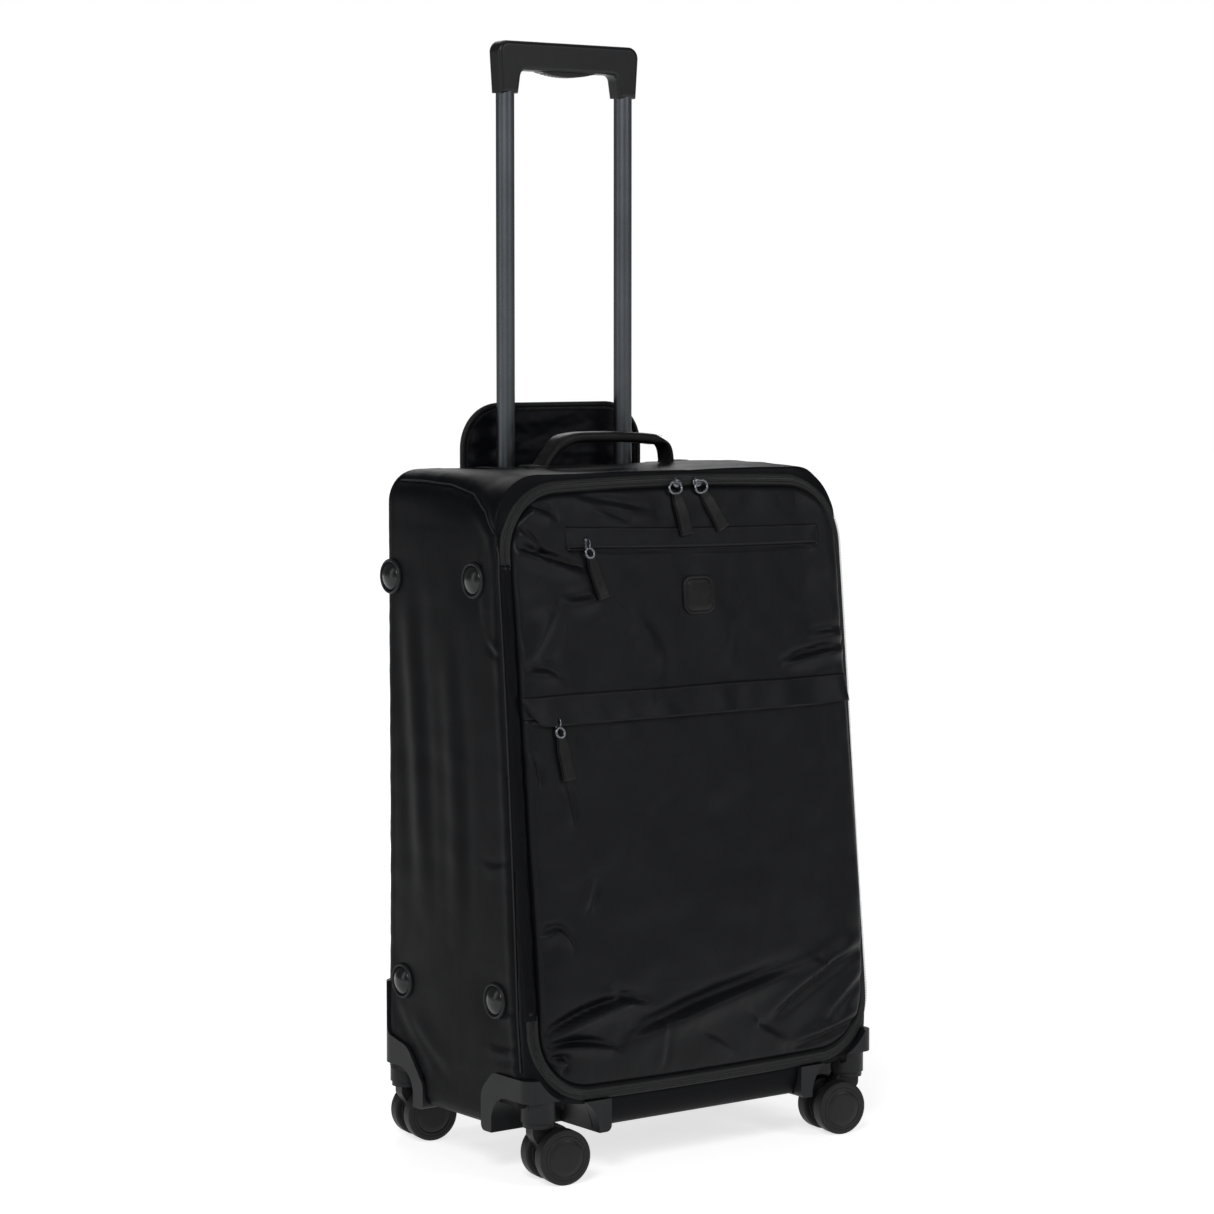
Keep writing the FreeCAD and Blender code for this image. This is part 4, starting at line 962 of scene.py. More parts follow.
FACE_LEVELS = [(0.0, -0.0042), (0.022, -0.0028), (0.040, -0.0010), (0.096, 0.0045),
               (0.190, 0.0038), (0.280, 0.0024), (0.370, 0.0009), (0.460, -0.0005),
               (0.569, -0.0021)]
FLAP_LINE = 0.352                       # the lower pocket's mouth, behind the storm flap
LID_FOLDS = [
    # each fold: its path as (x, up), then half its height, and its width, in mm
    # top left corner, where the cloth is gathered into the zip's bend
    ([(-0.187, 0.548), (-0.168, 0.545), (-0.146, 0.536)], 3.4, 4.6),
    ([(-0.187, 0.508), (-0.159, 0.494), (-0.112, 0.484)], 3.4, 5.0),
    ([(-0.187, 0.528), (-0.170, 0.518), (-0.160, 0.498)], 2.6, 3.8),
    ([(-0.140, 0.456), (-0.118, 0.455), (-0.096, 0.461)], 1.8, 6.0),
    ([(-0.120, 0.552), (-0.080, 0.543), (-0.030, 0.535)], 1.4, 6.0),
    ([(-0.100, 0.540), (-0.070, 0.530), (-0.058, 0.526)], 1.2, 5.0),
    # right edge over the flap, and the plain panel between the pockets
    ([(0.118, 0.385), (0.155, 0.393), (0.194, 0.397)], 2.6, 4.5),
    ([(0.150, 0.408), (0.170, 0.414), (0.194, 0.412)], 1.2, 5.0),
    ([(-0.150, 0.452), (-0.165, 0.420), (-0.186, 0.400)], 1.6, 9.0),
    ([(-0.186, 0.392), (-0.168, 0.398), (-0.150, 0.386)], 1.5, 5.0),
    ([(-0.060, 0.440), (-0.030, 0.415), (-0.040, 0.380)], 0.9, 12.0),
    ([(0.060, 0.440), (0.040, 0.420), (0.050, 0.385)], 0.8, 13.0),
    # lower pocket
    ([(-0.152, 0.290), (-0.150, 0.272), (-0.147, 0.250)], 1.4, 4.5),
    ([(-0.130, 0.200), (-0.128, 0.188), (-0.140, 0.172)], 1.2, 5.0),
    ([(-0.188, 0.320), (-0.180, 0.306), (-0.184, 0.288)], 1.3, 4.0),
    ([(-0.095, 0.044), (-0.020, 0.066), (0.125, 0.094)], 3.6, 9.0),
    ([(0.196, 0.113), (0.129, 0.093), (0.066, 0.050)], 3.0, 7.0),
    ([(0.196, 0.042), (0.150, 0.030), (0.100, 0.021)], 2.4, 5.0),
    ([(0.196, 0.085), (0.170, 0.066), (0.140, 0.040)], 1.6, 6.0),
    ([(-0.187, 0.058), (-0.140, 0.078), (-0.090, 0.083)], 4.2, 5.5),
    ([(-0.188, 0.047), (-0.150, 0.052), (-0.110, 0.040)], 3.2, 4.5),
    ([(-0.187, 0.036), (-0.156, 0.040), (-0.172, 0.026)], 3.0, 3.6),
    ([(-0.187, 0.150), (-0.165, 0.166), (-0.158, 0.140)], 2.8, 4.0),
    ([(-0.120, 0.095), (-0.100, 0.080), (-0.070, 0.078)], 1.8, 6.0),
    ([(-0.060, 0.060), (-0.050, 0.040), (-0.058, 0.018)], 1.0, 5.0),
    ([(-0.020, 0.045), (0.020, 0.030), (0.030, 0.016)], 0.9, 6.0),
    ([(0.040, 0.060), (0.060, 0.035), (0.100, 0.020)], 1.2, 7.0),
]


def face_level(x, up, inset):
    """How far out the soft face of the lid stands, in metres from the lid's plane."""
    levels = np.array(FACE_LEVELS)
    out = np.interp(up, levels[:, 0], levels[:, 1])
    out = out + 4.0 * MM * (1 - np.exp(-np.maximum(inset - LID_TRIM, 0) / (15 * MM)))
    out += 3.5 * MM * np.exp(-((x - 0.03) / 0.14) ** 2 - ((up - 0.15) / 0.12) ** 2)
    roll = 1 - np.exp(-np.maximum(inset - LID_TRIM, 0) / (2 * MM))
    roll = roll * np.exp(-((inset - 13 * MM) / (26 * MM)) ** 2)
    out += 6.5 * MM * roll * smooth((x - 0.145) / 0.035) * smooth((up - 0.07) / 0.10)
    return out


def lid_inset(x, up):
    """Distance inside the zip line."""
    over_x = np.abs(x - ZIP_SHIFT) - (ZIP_HALF - ZIP_CORNER)
    over_up = np.abs(up - ZIP_MIDDLE) - ((ZIP_HIGH - ZIP_LOW) / 2 - ZIP_CORNER)
    outside = np.hypot(np.maximum(over_x, 0), np.maximum(over_up, 0))
    return ZIP_CORNER - outside - np.minimum(np.maximum(over_x, over_up), 0)


def face_relief(x, up, inset):
    """Folds, gathers and soft unevenness on the lid's face."""
    folds = sum(crease(x, up, path, 2.0 * height * MM, width * MM)
                for path, height, width in LID_FOLDS)
    spots = np.stack([x, up, np.zeros_like(x)], 1)
    rumple = noise_at(spots * [1, 0.8, 1], 0.055, 31.0) * 1.5 * MM
    rumple += noise_at(spots, 0.020, 33.0) * 0.35 * MM
    round_zip = np.where(np.abs(x) > ZIP_HALF - 0.05, up, x)
    pucker = noise_at(np.stack([round_zip / 0.007, inset / 0.02, x * 3], 1), 1.0, 35.0)
    rumple += pucker * 0.9 * MM * np.exp(-np.maximum(inset - LID_TRIM, 0) / (7 * MM))
    hold = smooth((inset - LID_TRIM) / (12 * MM))
    folds = folds + LID_CLOTH.lift(x, up)
    return folds * smooth((inset - LID_TRIM + 2 * MM) / (6 * MM)) + rumple * (0.35 + 0.65 * hold)


def slot_groove(x, up):
    """The dark slit under the upper pocket's welt."""
    along = smooth((x + 0.131) / 0.006) * smooth((0.167 - x) / 0.006)
    line = welt_line(x, 0)
    return -3.2 * MM * along * np.exp(-((up - line + 1.2 * MM) / (2.4 * MM)) ** 2)


def welt_line(x, edge):
    """Height of the welt's lower edge (0) or upper edge (1), which sags a little."""
    low = 0.5065 - (x + 0.130) / 0.300 * 0.0055
    sag = 1.6 * MM * np.sin(math.pi * np.clip((x + 0.13) / 0.30, 0, 1))
    tall = 0.0205 - 0.0015 * np.clip((x + 0.13) / 0.30, 0, 1)
    return low - sag + edge * tall


def lid_face(x, up, inset=None):
    """Out of the finished face of the lid at places on it."""
    x, up = np.broadcast_arrays(np.asarray(x, float), np.asarray(up, float))
    x, up = x.ravel(), up.ravel()
    inset = lid_inset(x, up) if inset is None else inset
    along = smooth((x + 0.145) / 0.020) * smooth((0.180 - x) / 0.020)
    calm = 1 - 0.8 * along * np.exp(-((up - welt_line(x, 0.3)) / (13 * MM)) ** 2)
    return face_level(x, up, inset) + calm * face_relief(x, up, inset) + slot_groove(x, up)


def make_lid_skin():
    """The lid's face in two pieces: the main panel, and the lower pocket in front of it."""
    # the turned-in edge, as (inset, out) in mm, and then the face in even steps of inset
    edge = [(8.0, -13.2), (6.9, -12.6), (6.6, -9.0), (6.6, -5.5), (6.9, -3.6), (7.4, -2.0),
            (8.2, -0.6), (9.4, 0.4)]
    insets = np.concatenate([np.arange(10.8, 60, 2.4), np.arange(60, 120, 2.8)]) * MM
    rows = []
    for inset, out in edge:
        points, _ = lid_ring(inset * MM)
        x, up = points[:, 0], points[:, 1]
        level = face_level(x, up, inset * MM)
        lift = level + face_relief(x, up, np.full(x.shape, inset * MM)) * smooth((out + 5) / 5)
        rows.append(lid_point(x, out * MM + np.where(out > -4, lift, 0), up))
    for inset in insets:
        points, _ = lid_ring(inset)
        x, up = points[:, 0], points[:, 1]
        rows.append(lid_point(x, lid_face(x, up, np.full(x.shape, inset)) + SKIN_LIFT, up))
    last, _ = lid_ring(insets[-1])
    for points in inner_rings(last, 30):
        x, up = points[:, 0], points[:, 1]
        rows.append(lid_point(x, lid_face(x, up) + SKIN_LIFT, up))
    verts = np.concatenate(rows)
    faces = np.array(grid_faces(len(rows), len(last), closed=True))
    heights = ((verts[faces].mean(1) - LID_ORIGIN) @ UP)
    for name, kept, node in (("lid_skin", faces[heights > FLAP_LINE], "lid_panel"),
                             ("lower_pocket_skin", faces[heights <= FLAP_LINE], "lower_pocket")):
        skin = add_mesh(name, verts, kept, NYLON_LID, merge=0.05 * MM)
        remove_loose(skin)
        face_outwards(skin, Vector(lid_point(0, BEHIND_LID, 0.28)))
        thicken(skin, 0.9 * MM)
        finish_piece(skin, "lid", "lid_fabric", node)


def inner_rings(last, count):
    """Rings that close up from a last ring to a line up the lid's middle."""
    heart = np.stack([np.zeros(len(last)), np.clip(last[:, 1], 0.20, 0.37)], 1)
    return [last + (heart - last) * t for t in np.linspace(0, 1, count)[1:]]


def remove_loose(piece):
    """Delete points that no face uses."""
    with editing(piece.data) as work:
        loose = [vert for vert in work.verts if not vert.link_faces]
        bmesh.ops.delete(work, geom=loose, context="VERTS")


def on_face(x, up, lift):
    """Points a little above the lid's face."""
    x, up = np.broadcast_arrays(np.asarray(x, float), np.asarray(up, float))
    return lid_point(x, (lid_face(x, up) + SKIN_LIFT).reshape(x.shape) + lift, up)


def make_upper_welt():
    """The stitched welt over the upper pocket's zip, free along its lower edge."""
    columns = np.linspace(-0.1325, 0.1685, 150)
    shares = np.linspace(0, 1, 12)
    rows = []
    for share in shares:
        up = welt_line(columns, share)
        loose = 2.6 * MM * (1 - share) ** 1.5
        ends = smooth((columns + 0.1325) / 0.010) * smooth((0.1685 - columns) / 0.010)
        ripple = 0.25 * MM * noise_at(np.stack([columns / 0.02, up * 60, up * 0], 1), 1.0, 41.0)
        rows.append(on_face(columns, up, 0.5 * MM + loose * ends + ripple))
    under = on_face(columns, welt_line(columns, 0.05), 0.1 * MM)
    rows.insert(0, under)
    strip = add_mesh("upper_pocket_welt_cloth", np.concatenate(rows),
                     grid_faces(len(rows), len(columns)), NYLON_LID)
    face_outwards(strip, Vector(lid_point(0, BEHIND_LID, 0.5)))
    thicken(strip, 0.8 * MM)
    finish_piece(strip, "lid", "lid_fabric", "upper_pocket_welt")
    inset = 2.0 * MM
    left, right = columns[0] + inset, columns[-1] - inset
    run = np.linspace(left, right, 80)
    top = on_face(run, welt_line(run, 1) - inset, 0.75 * MM)
    ends = [on_face(np.full(8, at), np.linspace(welt_line(np.array(at), 0) + 1 * MM,
                                                welt_line(np.array(at), 1) - inset, 8), 1.0 * MM)
            for at in (left, right)]
    for name, path in (("top", top), ("left", ends[0]), ("right", ends[1])):
        stitches(f"welt_stitch_{name}", path, OUT, "lid", "lid_fabric")
    teeth = resample(np.stack([run, welt_line(run, 0) - 0.2 * MM], 1), 1.5 * MM)
    verts, faces = capsule(0.75 * MM, 2.6 * MM, 1.2 * MM)
    places = [(on_face(x, up, 1.0 * MM), SIDE, UP, OUT) for x, up in teeth]
    finish_piece(copies("upper_zip_coil", verts, faces, places, TEETH), "lid", "zip")


def flap_low_edge(x):
    """The storm flap's lower edge, with its left corner cut off and its right end lifting."""
    cut = np.interp(x, [-0.1905, -0.1760, -0.168], [0.3620, 0.3450, 0.3440])
    return cut + 2.2 * MM * smooth((x - 0.150) / 0.045)


def make_storm_flap():
    """The flap over the lower pocket's zip, sewn down along its top edge."""
    columns = np.concatenate([np.linspace(-0.1905, -0.170, 14)[:-1],
                              np.linspace(-0.170, 0.1935, 170)])
    shares = np.linspace(0, 1, 13)
    top = 0.3725 + 0.4 * MM * np.sin(columns * 40)
    rows = []
    for share in shares:
        up = top + (flap_low_edge(columns) - top) * share
        lift = (0.8 + 4.4 * share ** 1.4) * MM
        ripple = 0.35 * MM * share * noise_at(np.stack([columns / 0.035, up * 30, up * 0], 1),
                                              1.0, 43.0)
        rows.append(on_face(columns, up, lift + ripple))
    rows.append(on_face(columns, flap_low_edge(columns) + 0.8 * MM, 2.6 * MM))
    flap = add_mesh("storm_flap_cloth", np.concatenate(rows), grid_faces(len(rows), len(columns)),
                    NYLON_LID)
    face_outwards(flap, Vector(lid_point(0, BEHIND_LID, 0.36)))
    thicken(flap, 0.9 * MM)
    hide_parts("storm_flap")
    tuple(lid_point(0, 0.006, 0.3700))
    tuple(lid_point(0, 0.006, 0.3640))
    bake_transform(flap)
    run = np.linspace(-0.188, 0.191, 140)
    seam = on_face(run, 0.3700, 1.35 * MM)
    stitches("flap_stitch", seam, OUT, "lid", "lid_fabric")
    verts, faces = capsule(0.75 * MM, 2.8 * MM, 1.2 * MM)
    places = [(on_face(x, 0.3480, 0.8 * MM), SIDE, UP, OUT)
              for x in np.arange(-0.182, 0.186, 1.5 * MM)]
    finish_piece(copies("lower_zip_coil", verts, faces, places, TEETH), "lid", "zip")


def make_badge():
    """A plain leather patch with a raised middle and a stitched border; it carries no mark."""
    low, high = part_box("badge")
    middle = (np.array(low) + np.array(high)) / 2
    x = middle[0]
    up = (middle - LID_ORIGIN) @ UP
    half, corner = 18.5 * MM, 10.0 * MM
    profile = [(0.0, -1.5), (0.0, 0.7), (-0.5, 1.3), (-1.4, 1.5), (-2.6, 1.35), (-3.0, 0.75),
               (-3.5, 0.75), (-4.0, 1.25), (-5.0, 1.6), (-9.0, 1.85), (-14.0, 1.9), (-18.3, 1.9)]
    rows = []
    base = float(lid_face(x, up)[0]) + SKIN_LIFT
    for inset, out in profile:
        points, _ = ring(half + inset * MM, -half - inset * MM, half + inset * MM,
                         max(corner + inset * MM, 0.1 * MM), 96)
        rows.append(lid_point(points[:, 0] + x, base + out * MM, points[:, 1] + up))
    patch = add_mesh("badge_patch", np.concatenate(rows),
                     grid_faces(len(rows), len(rows[0]), closed=True), LEATHER, merge=0.05 * MM)
    face_outwards(patch, Vector(lid_point(x, BEHIND_LID, up)))
    finish_piece(patch, "lid", "leather", "badge")
    seam = half - 3.3 * MM
    points, _ = ring(seam, -half + 3.3 * MM, seam, corner - 3.3 * MM, 96)
    path = lid_point(points[:, 0] + x, base + 0.9 * MM, points[:, 1] + up)
    stitches("badge_stitch", np.vstack([path, path[:1]]), OUT, "lid", "leather", 2.2 * MM)


def make_lid_lining():
    """The lining inside the lid, with a bound edge."""
    rows = []
    for inset in np.concatenate([[9.0, 10.0, 12.0], np.arange(15, 120, 5.0)]) * MM:
        points, _ = lid_ring(inset, 400)
        x, up = points[:, 0], points[:, 1]
        sag = noise_at(np.stack([x, up, x * 0], 1), 0.05, 51.0) * 0.7 * MM
        rows.append(lid_point(x, -13.2 * MM - sag - 0.8 * MM * smooth((inset - 0.01) / 0.03), up))
    last, _ = lid_ring(0.1175, 400)
    for points in inner_rings(last, 14):
        sag = noise_at(np.stack([points[:, 0], points[:, 1], last[:, 0] * 0], 1), 0.05, 51.0)
        rows.append(lid_point(points[:, 0], -14.0 * MM - sag * 0.7 * MM, points[:, 1]))
    sheet = add_mesh("lid_lining_cloth", np.concatenate(rows),
                     grid_faces(len(rows), len(last), closed=True), LINING, merge=0.05 * MM)
    finish_piece(sheet, "lid", "lining", "lid_lining")
    line, _ = lid_ring(9.0 * MM, 400)
    path = lid_point(line[:, 0], -13.6 * MM, line[:, 1])
    binding = sweep("lid_binding", path, oval(5 * MM, 1.6 * MM, 10, 2.6), TAPE, closed=True, up=OUT)
    finish_piece(binding, "lid", "lining")


# ---------------------------------------------------------------- sliders and pulls

def make_slider(name, body, ring_side):
    """A cast slider that straddles the coil, with the bridge that its pull hangs from."""
    low, high = (np.array(corner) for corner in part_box(body))
    middle = (low + high) / 2 - LID_ORIGIN
    x, up = middle[0], middle @ UP
    level = float(on_face_level(x, up)[0])
    profile = [(0.30, 0.0), (0.46, 0.25), (0.50, 0.55), (0.44, 0.85), (0.25, 1.0), (0.0, 1.0)]
    wide, tall, deep = 8.5 * MM, 12.0 * MM, 3.8 * MM
    turns = np.linspace(0, 2 * math.pi, 32, endpoint=False)
    cos, sin = np.cos(turns), np.sin(turns)
    waist = 1 + 0.22 * np.cos(2 * turns) * (1 if ring_side else -1)
    rows = []
    for reach, rise in profile:
        across = np.sign(cos) * np.abs(cos) ** 0.7 * reach * wide * waist
        along = np.sign(sin) * np.abs(sin) ** 0.7 * reach * tall
        if ring_side:
            across, along = along, across
        rows.append(lid_point(x + across, level + rise * deep, up + along))
    shell = add_mesh(name, np.concatenate(rows), grid_faces(len(rows), 32, closed=True), GUNMETAL,
                     merge=0.02 * MM)
    face_outwards(shell, Vector(lid_point(x, level, up)))
    finish_piece(shell, body, "zip_metal", body)
    arch = [(3.8, 3.0), (2.6, 5.2), (0, 6.0), (-2.6, 5.2), (-3.8, 3.0)]
    if ring_side:
        bridge = [lid_point(x + at * MM, level + out * MM, up) for at, out in arch]
    else:
        bridge = [lid_point(x, level + out * MM, up + at * MM) for at, out in arch]
    bail = sweep(name + "_bridge", resample(bridge, 0.6 * MM), oval(2.8 * MM, 1.7 * MM, 10),
                 GUNMETAL, up=UP if ring_side else SIDE)
    finish_piece(bail, body, "zip_metal")
    return level


def on_face_level(x, up):
    """Out of whatever a slider sits on: the main zip's coil, or the lid's own face."""
    x, up = np.broadcast_arrays(np.atleast_1d(x).astype(float), up)
    return np.where(up > ZIP_HIGH - 10 * MM, -1.2 * MM, lid_face(x, up) + 0.8 * MM)


def make_pull(name, top, length, width, tilt, level, ring=(7.2, 5.6), double=True):
    """A leather pull: a strip folded over its ring and sewn to itself, hanging at a tilt in
    degrees; ring gives the ring's half width and half height in mm."""
    x, up = top
    lean = math.radians(tilt)
    down = -math.cos(lean) * UP + math.sin(lean) * SIDE
    across = math.cos(lean) * SIDE + math.sin(lean) * UP
    eye_out = level + 4.4 * MM
    hang = (ring[1] - 2.6) * MM
    eye = lid_point(x, eye_out, up) + down * hang
    turns = np.linspace(0, 2 * math.pi, 40, endpoint=False)
    loop = [eye + across * math.cos(t) * ring[0] * MM + down * (math.sin(t) * ring[1] * MM)
            + OUT * (0.8 * MM * math.sin(t)) for t in turns]
    wire = sweep(name + "_ring", loop, oval(2.9 * MM, 2.9 * MM, 12), GUNMETAL, closed=True, up=OUT)
    finish_piece(wire, name, "zip_metal")
    start = eye + down * (ring[1] * MM)
    layer, gap = 1.9 * MM, 1.35 * MM
    shares = np.linspace(0, 1, 30)
    spots = start + down * (3.0 * MM + (length - hang - 3.0 * MM) * shares)[:, None]
    clear = np.max([on_face_level(spots @ SIDE + side * width / 2, (spots - LID_ORIGIN) @ UP)
                    for side in (-1, 0, 1)], axis=0) + 3.4 * MM
    lift = np.maximum(clear - eye_out, -0.5 * MM)
    lift = np.convolve(np.pad(lift, 6, mode="edge"), np.ones(13) / 13, mode="valid")
    lift *= smooth(shares * 3 + 0.25)
    spots = spots + lift[:, None] * OUT
    waist = 0.80 + 0.20 * smooth(shares * 5) + 0.06 * smooth(shares * 4 - 2.6)
    turn = np.linspace(0.15, math.pi - 0.15, 9)
    fold = (spots[0] + down * ((-2.0 - 1.6 * np.sin(turn)) * MM)[:, None]
            + OUT * (np.cos(turn) * gap)[:, None])
    path = np.vstack([spots[::-1] + OUT * gap, fold, spots - OUT * gap])
    widths = np.concatenate([waist[::-1], np.full(len(turn), 0.74), waist]) * width
    widths = np.convolve(np.pad(widths, 2, mode="edge"), np.ones(5) / 5, mode="valid")
    tangent = unit_rows(np.gradient(path, axis=0))
    normal = np.cross(np.broadcast_to(across, path.shape), tangent)
    profile = oval(1.0, layer, 24, 3.2)
    dish = 0.22 * MM * np.exp(-(profile[:, 0] / 0.20) ** 2) * np.sign(profile[:, 1])
    rise = profile[:, 1] - dish
    verts = (path[:, None] + across[None, None] * profile[None, :, :1] * widths[:, None, None]
             + normal[:, None] * rise[None, :, None]).reshape(-1, 3)
    faces = grid_faces(len(path), len(profile), closed=True)
    strip = add_mesh(name, verts, faces + end_caps(len(profile), len(verts)), LEATHER)
    face_outwards_local(strip)
    finish_piece(strip, name, "leather", name)
    offsets = (-0.33, 0.33) if double else (0.0,)
    for index, offset in enumerate(offsets):
        line = spots[2:-1] + OUT * (gap + layer * 0.5) + across * width * offset
        stitches(f"{name}_stitch_{index}", line, OUT, name, "leather", 2.6 * MM,
                 lift=0.05 * MM)


def make_zip_fittings():
    """The two main sliders, one slider on each pocket, and their leather pulls."""
    level = make_slider("slider_main_left", "main_slider_left", -1)
    make_pull("main_pull_left", (-0.0010, 0.5625), 43 * MM, 13 * MM, 11, level)
    level = make_slider("slider_main_right", "main_slider_right", 1)
    make_pull("main_pull_right", (0.0290, 0.5625), 43 * MM, 13 * MM, 28, level)
    small = (4.4, 4.6)
    level = make_slider("slider_upper", "upper_pocket_slider", 0)
    make_pull("upper_pocket_pull", (-0.109, 0.5035), 42 * MM, 11.5 * MM, 18, level, small)
    level = make_slider("slider_lower", "lower_pocket_slider", 0)
    make_pull("lower_pocket_pull", (-0.156, 0.3400), 42 * MM, 11.5 * MM, 9, level, small)


# ---------------------------------------------------------------- carry handles and feet

def strap(name, path, widths, thicks, across, material):
    """A padded strap: a squared oval section whose width and thickness change along a path."""
    path = np.asarray(path, float)
    tangent = unit_rows(np.gradient(path, axis=0))
    across = np.asarray(across, float)
    normal = np.cross(tangent, np.broadcast_to(across, path.shape))
    profile = oval(1.0, 1.0, 28, 3.4)
    widths, thicks = (np.asarray(sizes)[:, None, None] for sizes in (widths, thicks))
    verts = (path[:, None] + across[None, None] * profile[None, :, :1] * widths
             + normal[:, None] * profile[None, :, 1:] * thicks).reshape(-1, 3)
    faces = grid_faces(len(path), len(profile), closed=True)
    piece = add_mesh(name, verts, faces + end_caps(len(profile), len(verts)), material)
    face_outwards_local(piece)
    return piece


def smooth_path(points, step):
    """A rounded line through given points, resampled evenly."""
    points = np.asarray(points, float)
    for _ in range(4):
        cut = np.empty((2 * len(points) - 2, points.shape[1]))
        cut[0::2] = points[:-1] * 0.75 + points[1:] * 0.25
        cut[1::2] = points[:-1] * 0.25 + points[1:] * 0.75
        points = np.vstack([points[:1], cut, points[-1:]])
    return resample(points, step)


def make_top_handle():
    """The padded top handle, thickest at its middle and a little thicker at its left end."""
    low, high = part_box("top_handle")
    y = (low.y + high.y) / 2
    crown = high.z - 5.4 * MM
    line = [(-0.0800, TOP + 0.5 * MM), (-0.0755, TOP + 5 * MM), (-0.0690, TOP + 14 * MM),
            (-0.0585, crown - 5.5 * MM), (-0.0450, crown + 0.2 * MM), (-0.020, crown + 0.9 * MM),
            (0.020, crown + 0.2 * MM), (0.0560, crown - 2.6 * MM), (0.0690, crown - 6.5 * MM),
            (0.0735, crown - 15 * MM), (0.0745, TOP + 0.5 * MM)]
    path = smooth_path([(x, y, z) for x, z in line], 2.0 * MM)
    middle = smooth((0.066 - np.abs(path[:, 0])) / 0.012)
    left_end = smooth((-0.040 - path[:, 0]) / 0.020)
    thick = (5.4 + 5.0 * middle + 2.6 * left_end) * MM
    wide = (23.0 + 1.5 * middle) * MM
    grip = strap("top_handle_leather", path, wide, thick, (0, 1, 0), LEATHER)
    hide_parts("top_handle")
    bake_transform(grip)
    run = path[(np.abs(path[:, 0]) < 0.064)]
    for side in (-1, 1):
        seam = run + [0, side * 8.6 * MM, 0]
        seam[:, 2] += 4.95 * MM
        stitches(f"top_handle_stitch_{side + 1}", seam, (0, 0, 1), "top_handle", "leather",
                 3.4 * MM, 0.6 * MM, 0.0)


def make_side_handle():
    """The padded handle on the right side, lying flat against it."""
    low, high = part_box("side_handle")
    middle = (low.z + high.z) / 2
    reach = high.x - 0.6 * MM
    line = [(HALF + 2.0 * MM, low.z + 1 * MM), (HALF + 4.5 * MM, low.z + 5 * MM),
            (reach - 0.8 * MM, low.z + 22 * MM), (reach, low.z + 50 * MM),
            (reach, high.z - 50 * MM), (reach - 0.8 * MM, high.z - 22 * MM),
            (HALF + 4.5 * MM, high.z - 5 * MM), (HALF + 2.0 * MM, high.z - 1 * MM)]
    path = smooth_path([(x, 0.0, z) for x, z in line], 3.0 * MM)
    ends = smooth((np.abs(path[:, 2] - middle) - 0.075) / 0.020)
    piece = strap("side_handle_leather", path, (24.0 - 8.0 * ends) * MM, (5.0 - 2.2 * ends) * MM,
                  (0, 1, 0), LEATHER)
    finish_piece(piece, "side_handle", "leather", "side_handle")
    run = path[np.abs(path[:, 2] - middle) < 0.078]
    for side in (-1, 1):
        seam = run + [2.35 * MM, side * 9.0 * MM, 0]
        stitches(f"side_handle_stitch_{side + 1}", seam, (1, 0, 0), "side_handle", "leather",
                 3.4 * MM, 0.6 * MM, 0.0)


def leather_patch(name, origin, across, along, out, half_wide, half_long, corner, body, *nodes):
    """A stitched patch of leather lying on the cloth."""
    profile = [(0.0, -1.0), (0.0, 0.6), (-0.5, 1.2), (-1.2, 1.5), (-2.6, 1.6), (-5.0, 1.7)]
    origin, across, along, out = (np.array(v, float) for v in (origin, across, along, out))
    rows = []
    for inset, rise in profile:
        points, _ = ring(half_wide + inset * MM, -half_long - inset * MM, half_long + inset * MM,
                         max(corner + inset * MM, 0.2 * MM), 72)
        rows.append(origin + points[:, :1] * across + points[:, 1:] * along + out * rise * MM)
    heart = rows[-1].mean(0) + out * 0.05 * MM
    rows.append(heart + (rows[-1] - heart) * 0.02)
    patch = add_mesh(name, np.concatenate(rows), grid_faces(len(rows), len(rows[0]), closed=True),
                     LEATHER, merge=0.02 * MM)
    face_outwards_local(patch)
    finish_piece(patch, body, "leather", *nodes)
    points, _ = ring(half_wide - 2.4 * MM, -half_long + 2.4 * MM, half_long - 2.4 * MM,
                     max(corner - 2.4 * MM, 0.4 * MM), 72)
    path = origin + points[:, :1] * across + points[:, 1:] * along + out * 1.6 * MM
    stitches(name + "_stitch", np.vstack([path, path[:1]]), out, body, "leather", 2.8 * MM)


def make_tabs():
    """The leather patches under the ends of both handles; the first stands for the CAD's tabs."""
    nodes = ("handle_tabs",)
    low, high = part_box("top_handle")
    for side in (-1, 1):
        middle = (low.y + high.y) / 2
        level = TOP + float(top_mound(side * TAB_X, middle)) - 0.3 * MM
        leather_patch(f"top_tab_{side + 1}", (side * TAB_X, middle, level),
                      (1, 0, 0), (0, 1, 0), (0, 0, 1), 13.5 * MM, 12 * MM, 5 * MM, "case", *nodes)
        nodes = ()
    low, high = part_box("side_handle")
    for side, z in ((-1, low.z - 10 * MM), (1, high.z + 10 * MM)):
        leather_patch(f"side_tab_{side + 1}", (HALF, 0, z), (0, 1, 0), (0, 0, 1), (1, 0, 0),
                      14 * MM, 10 * MM, 5 * MM, "case")


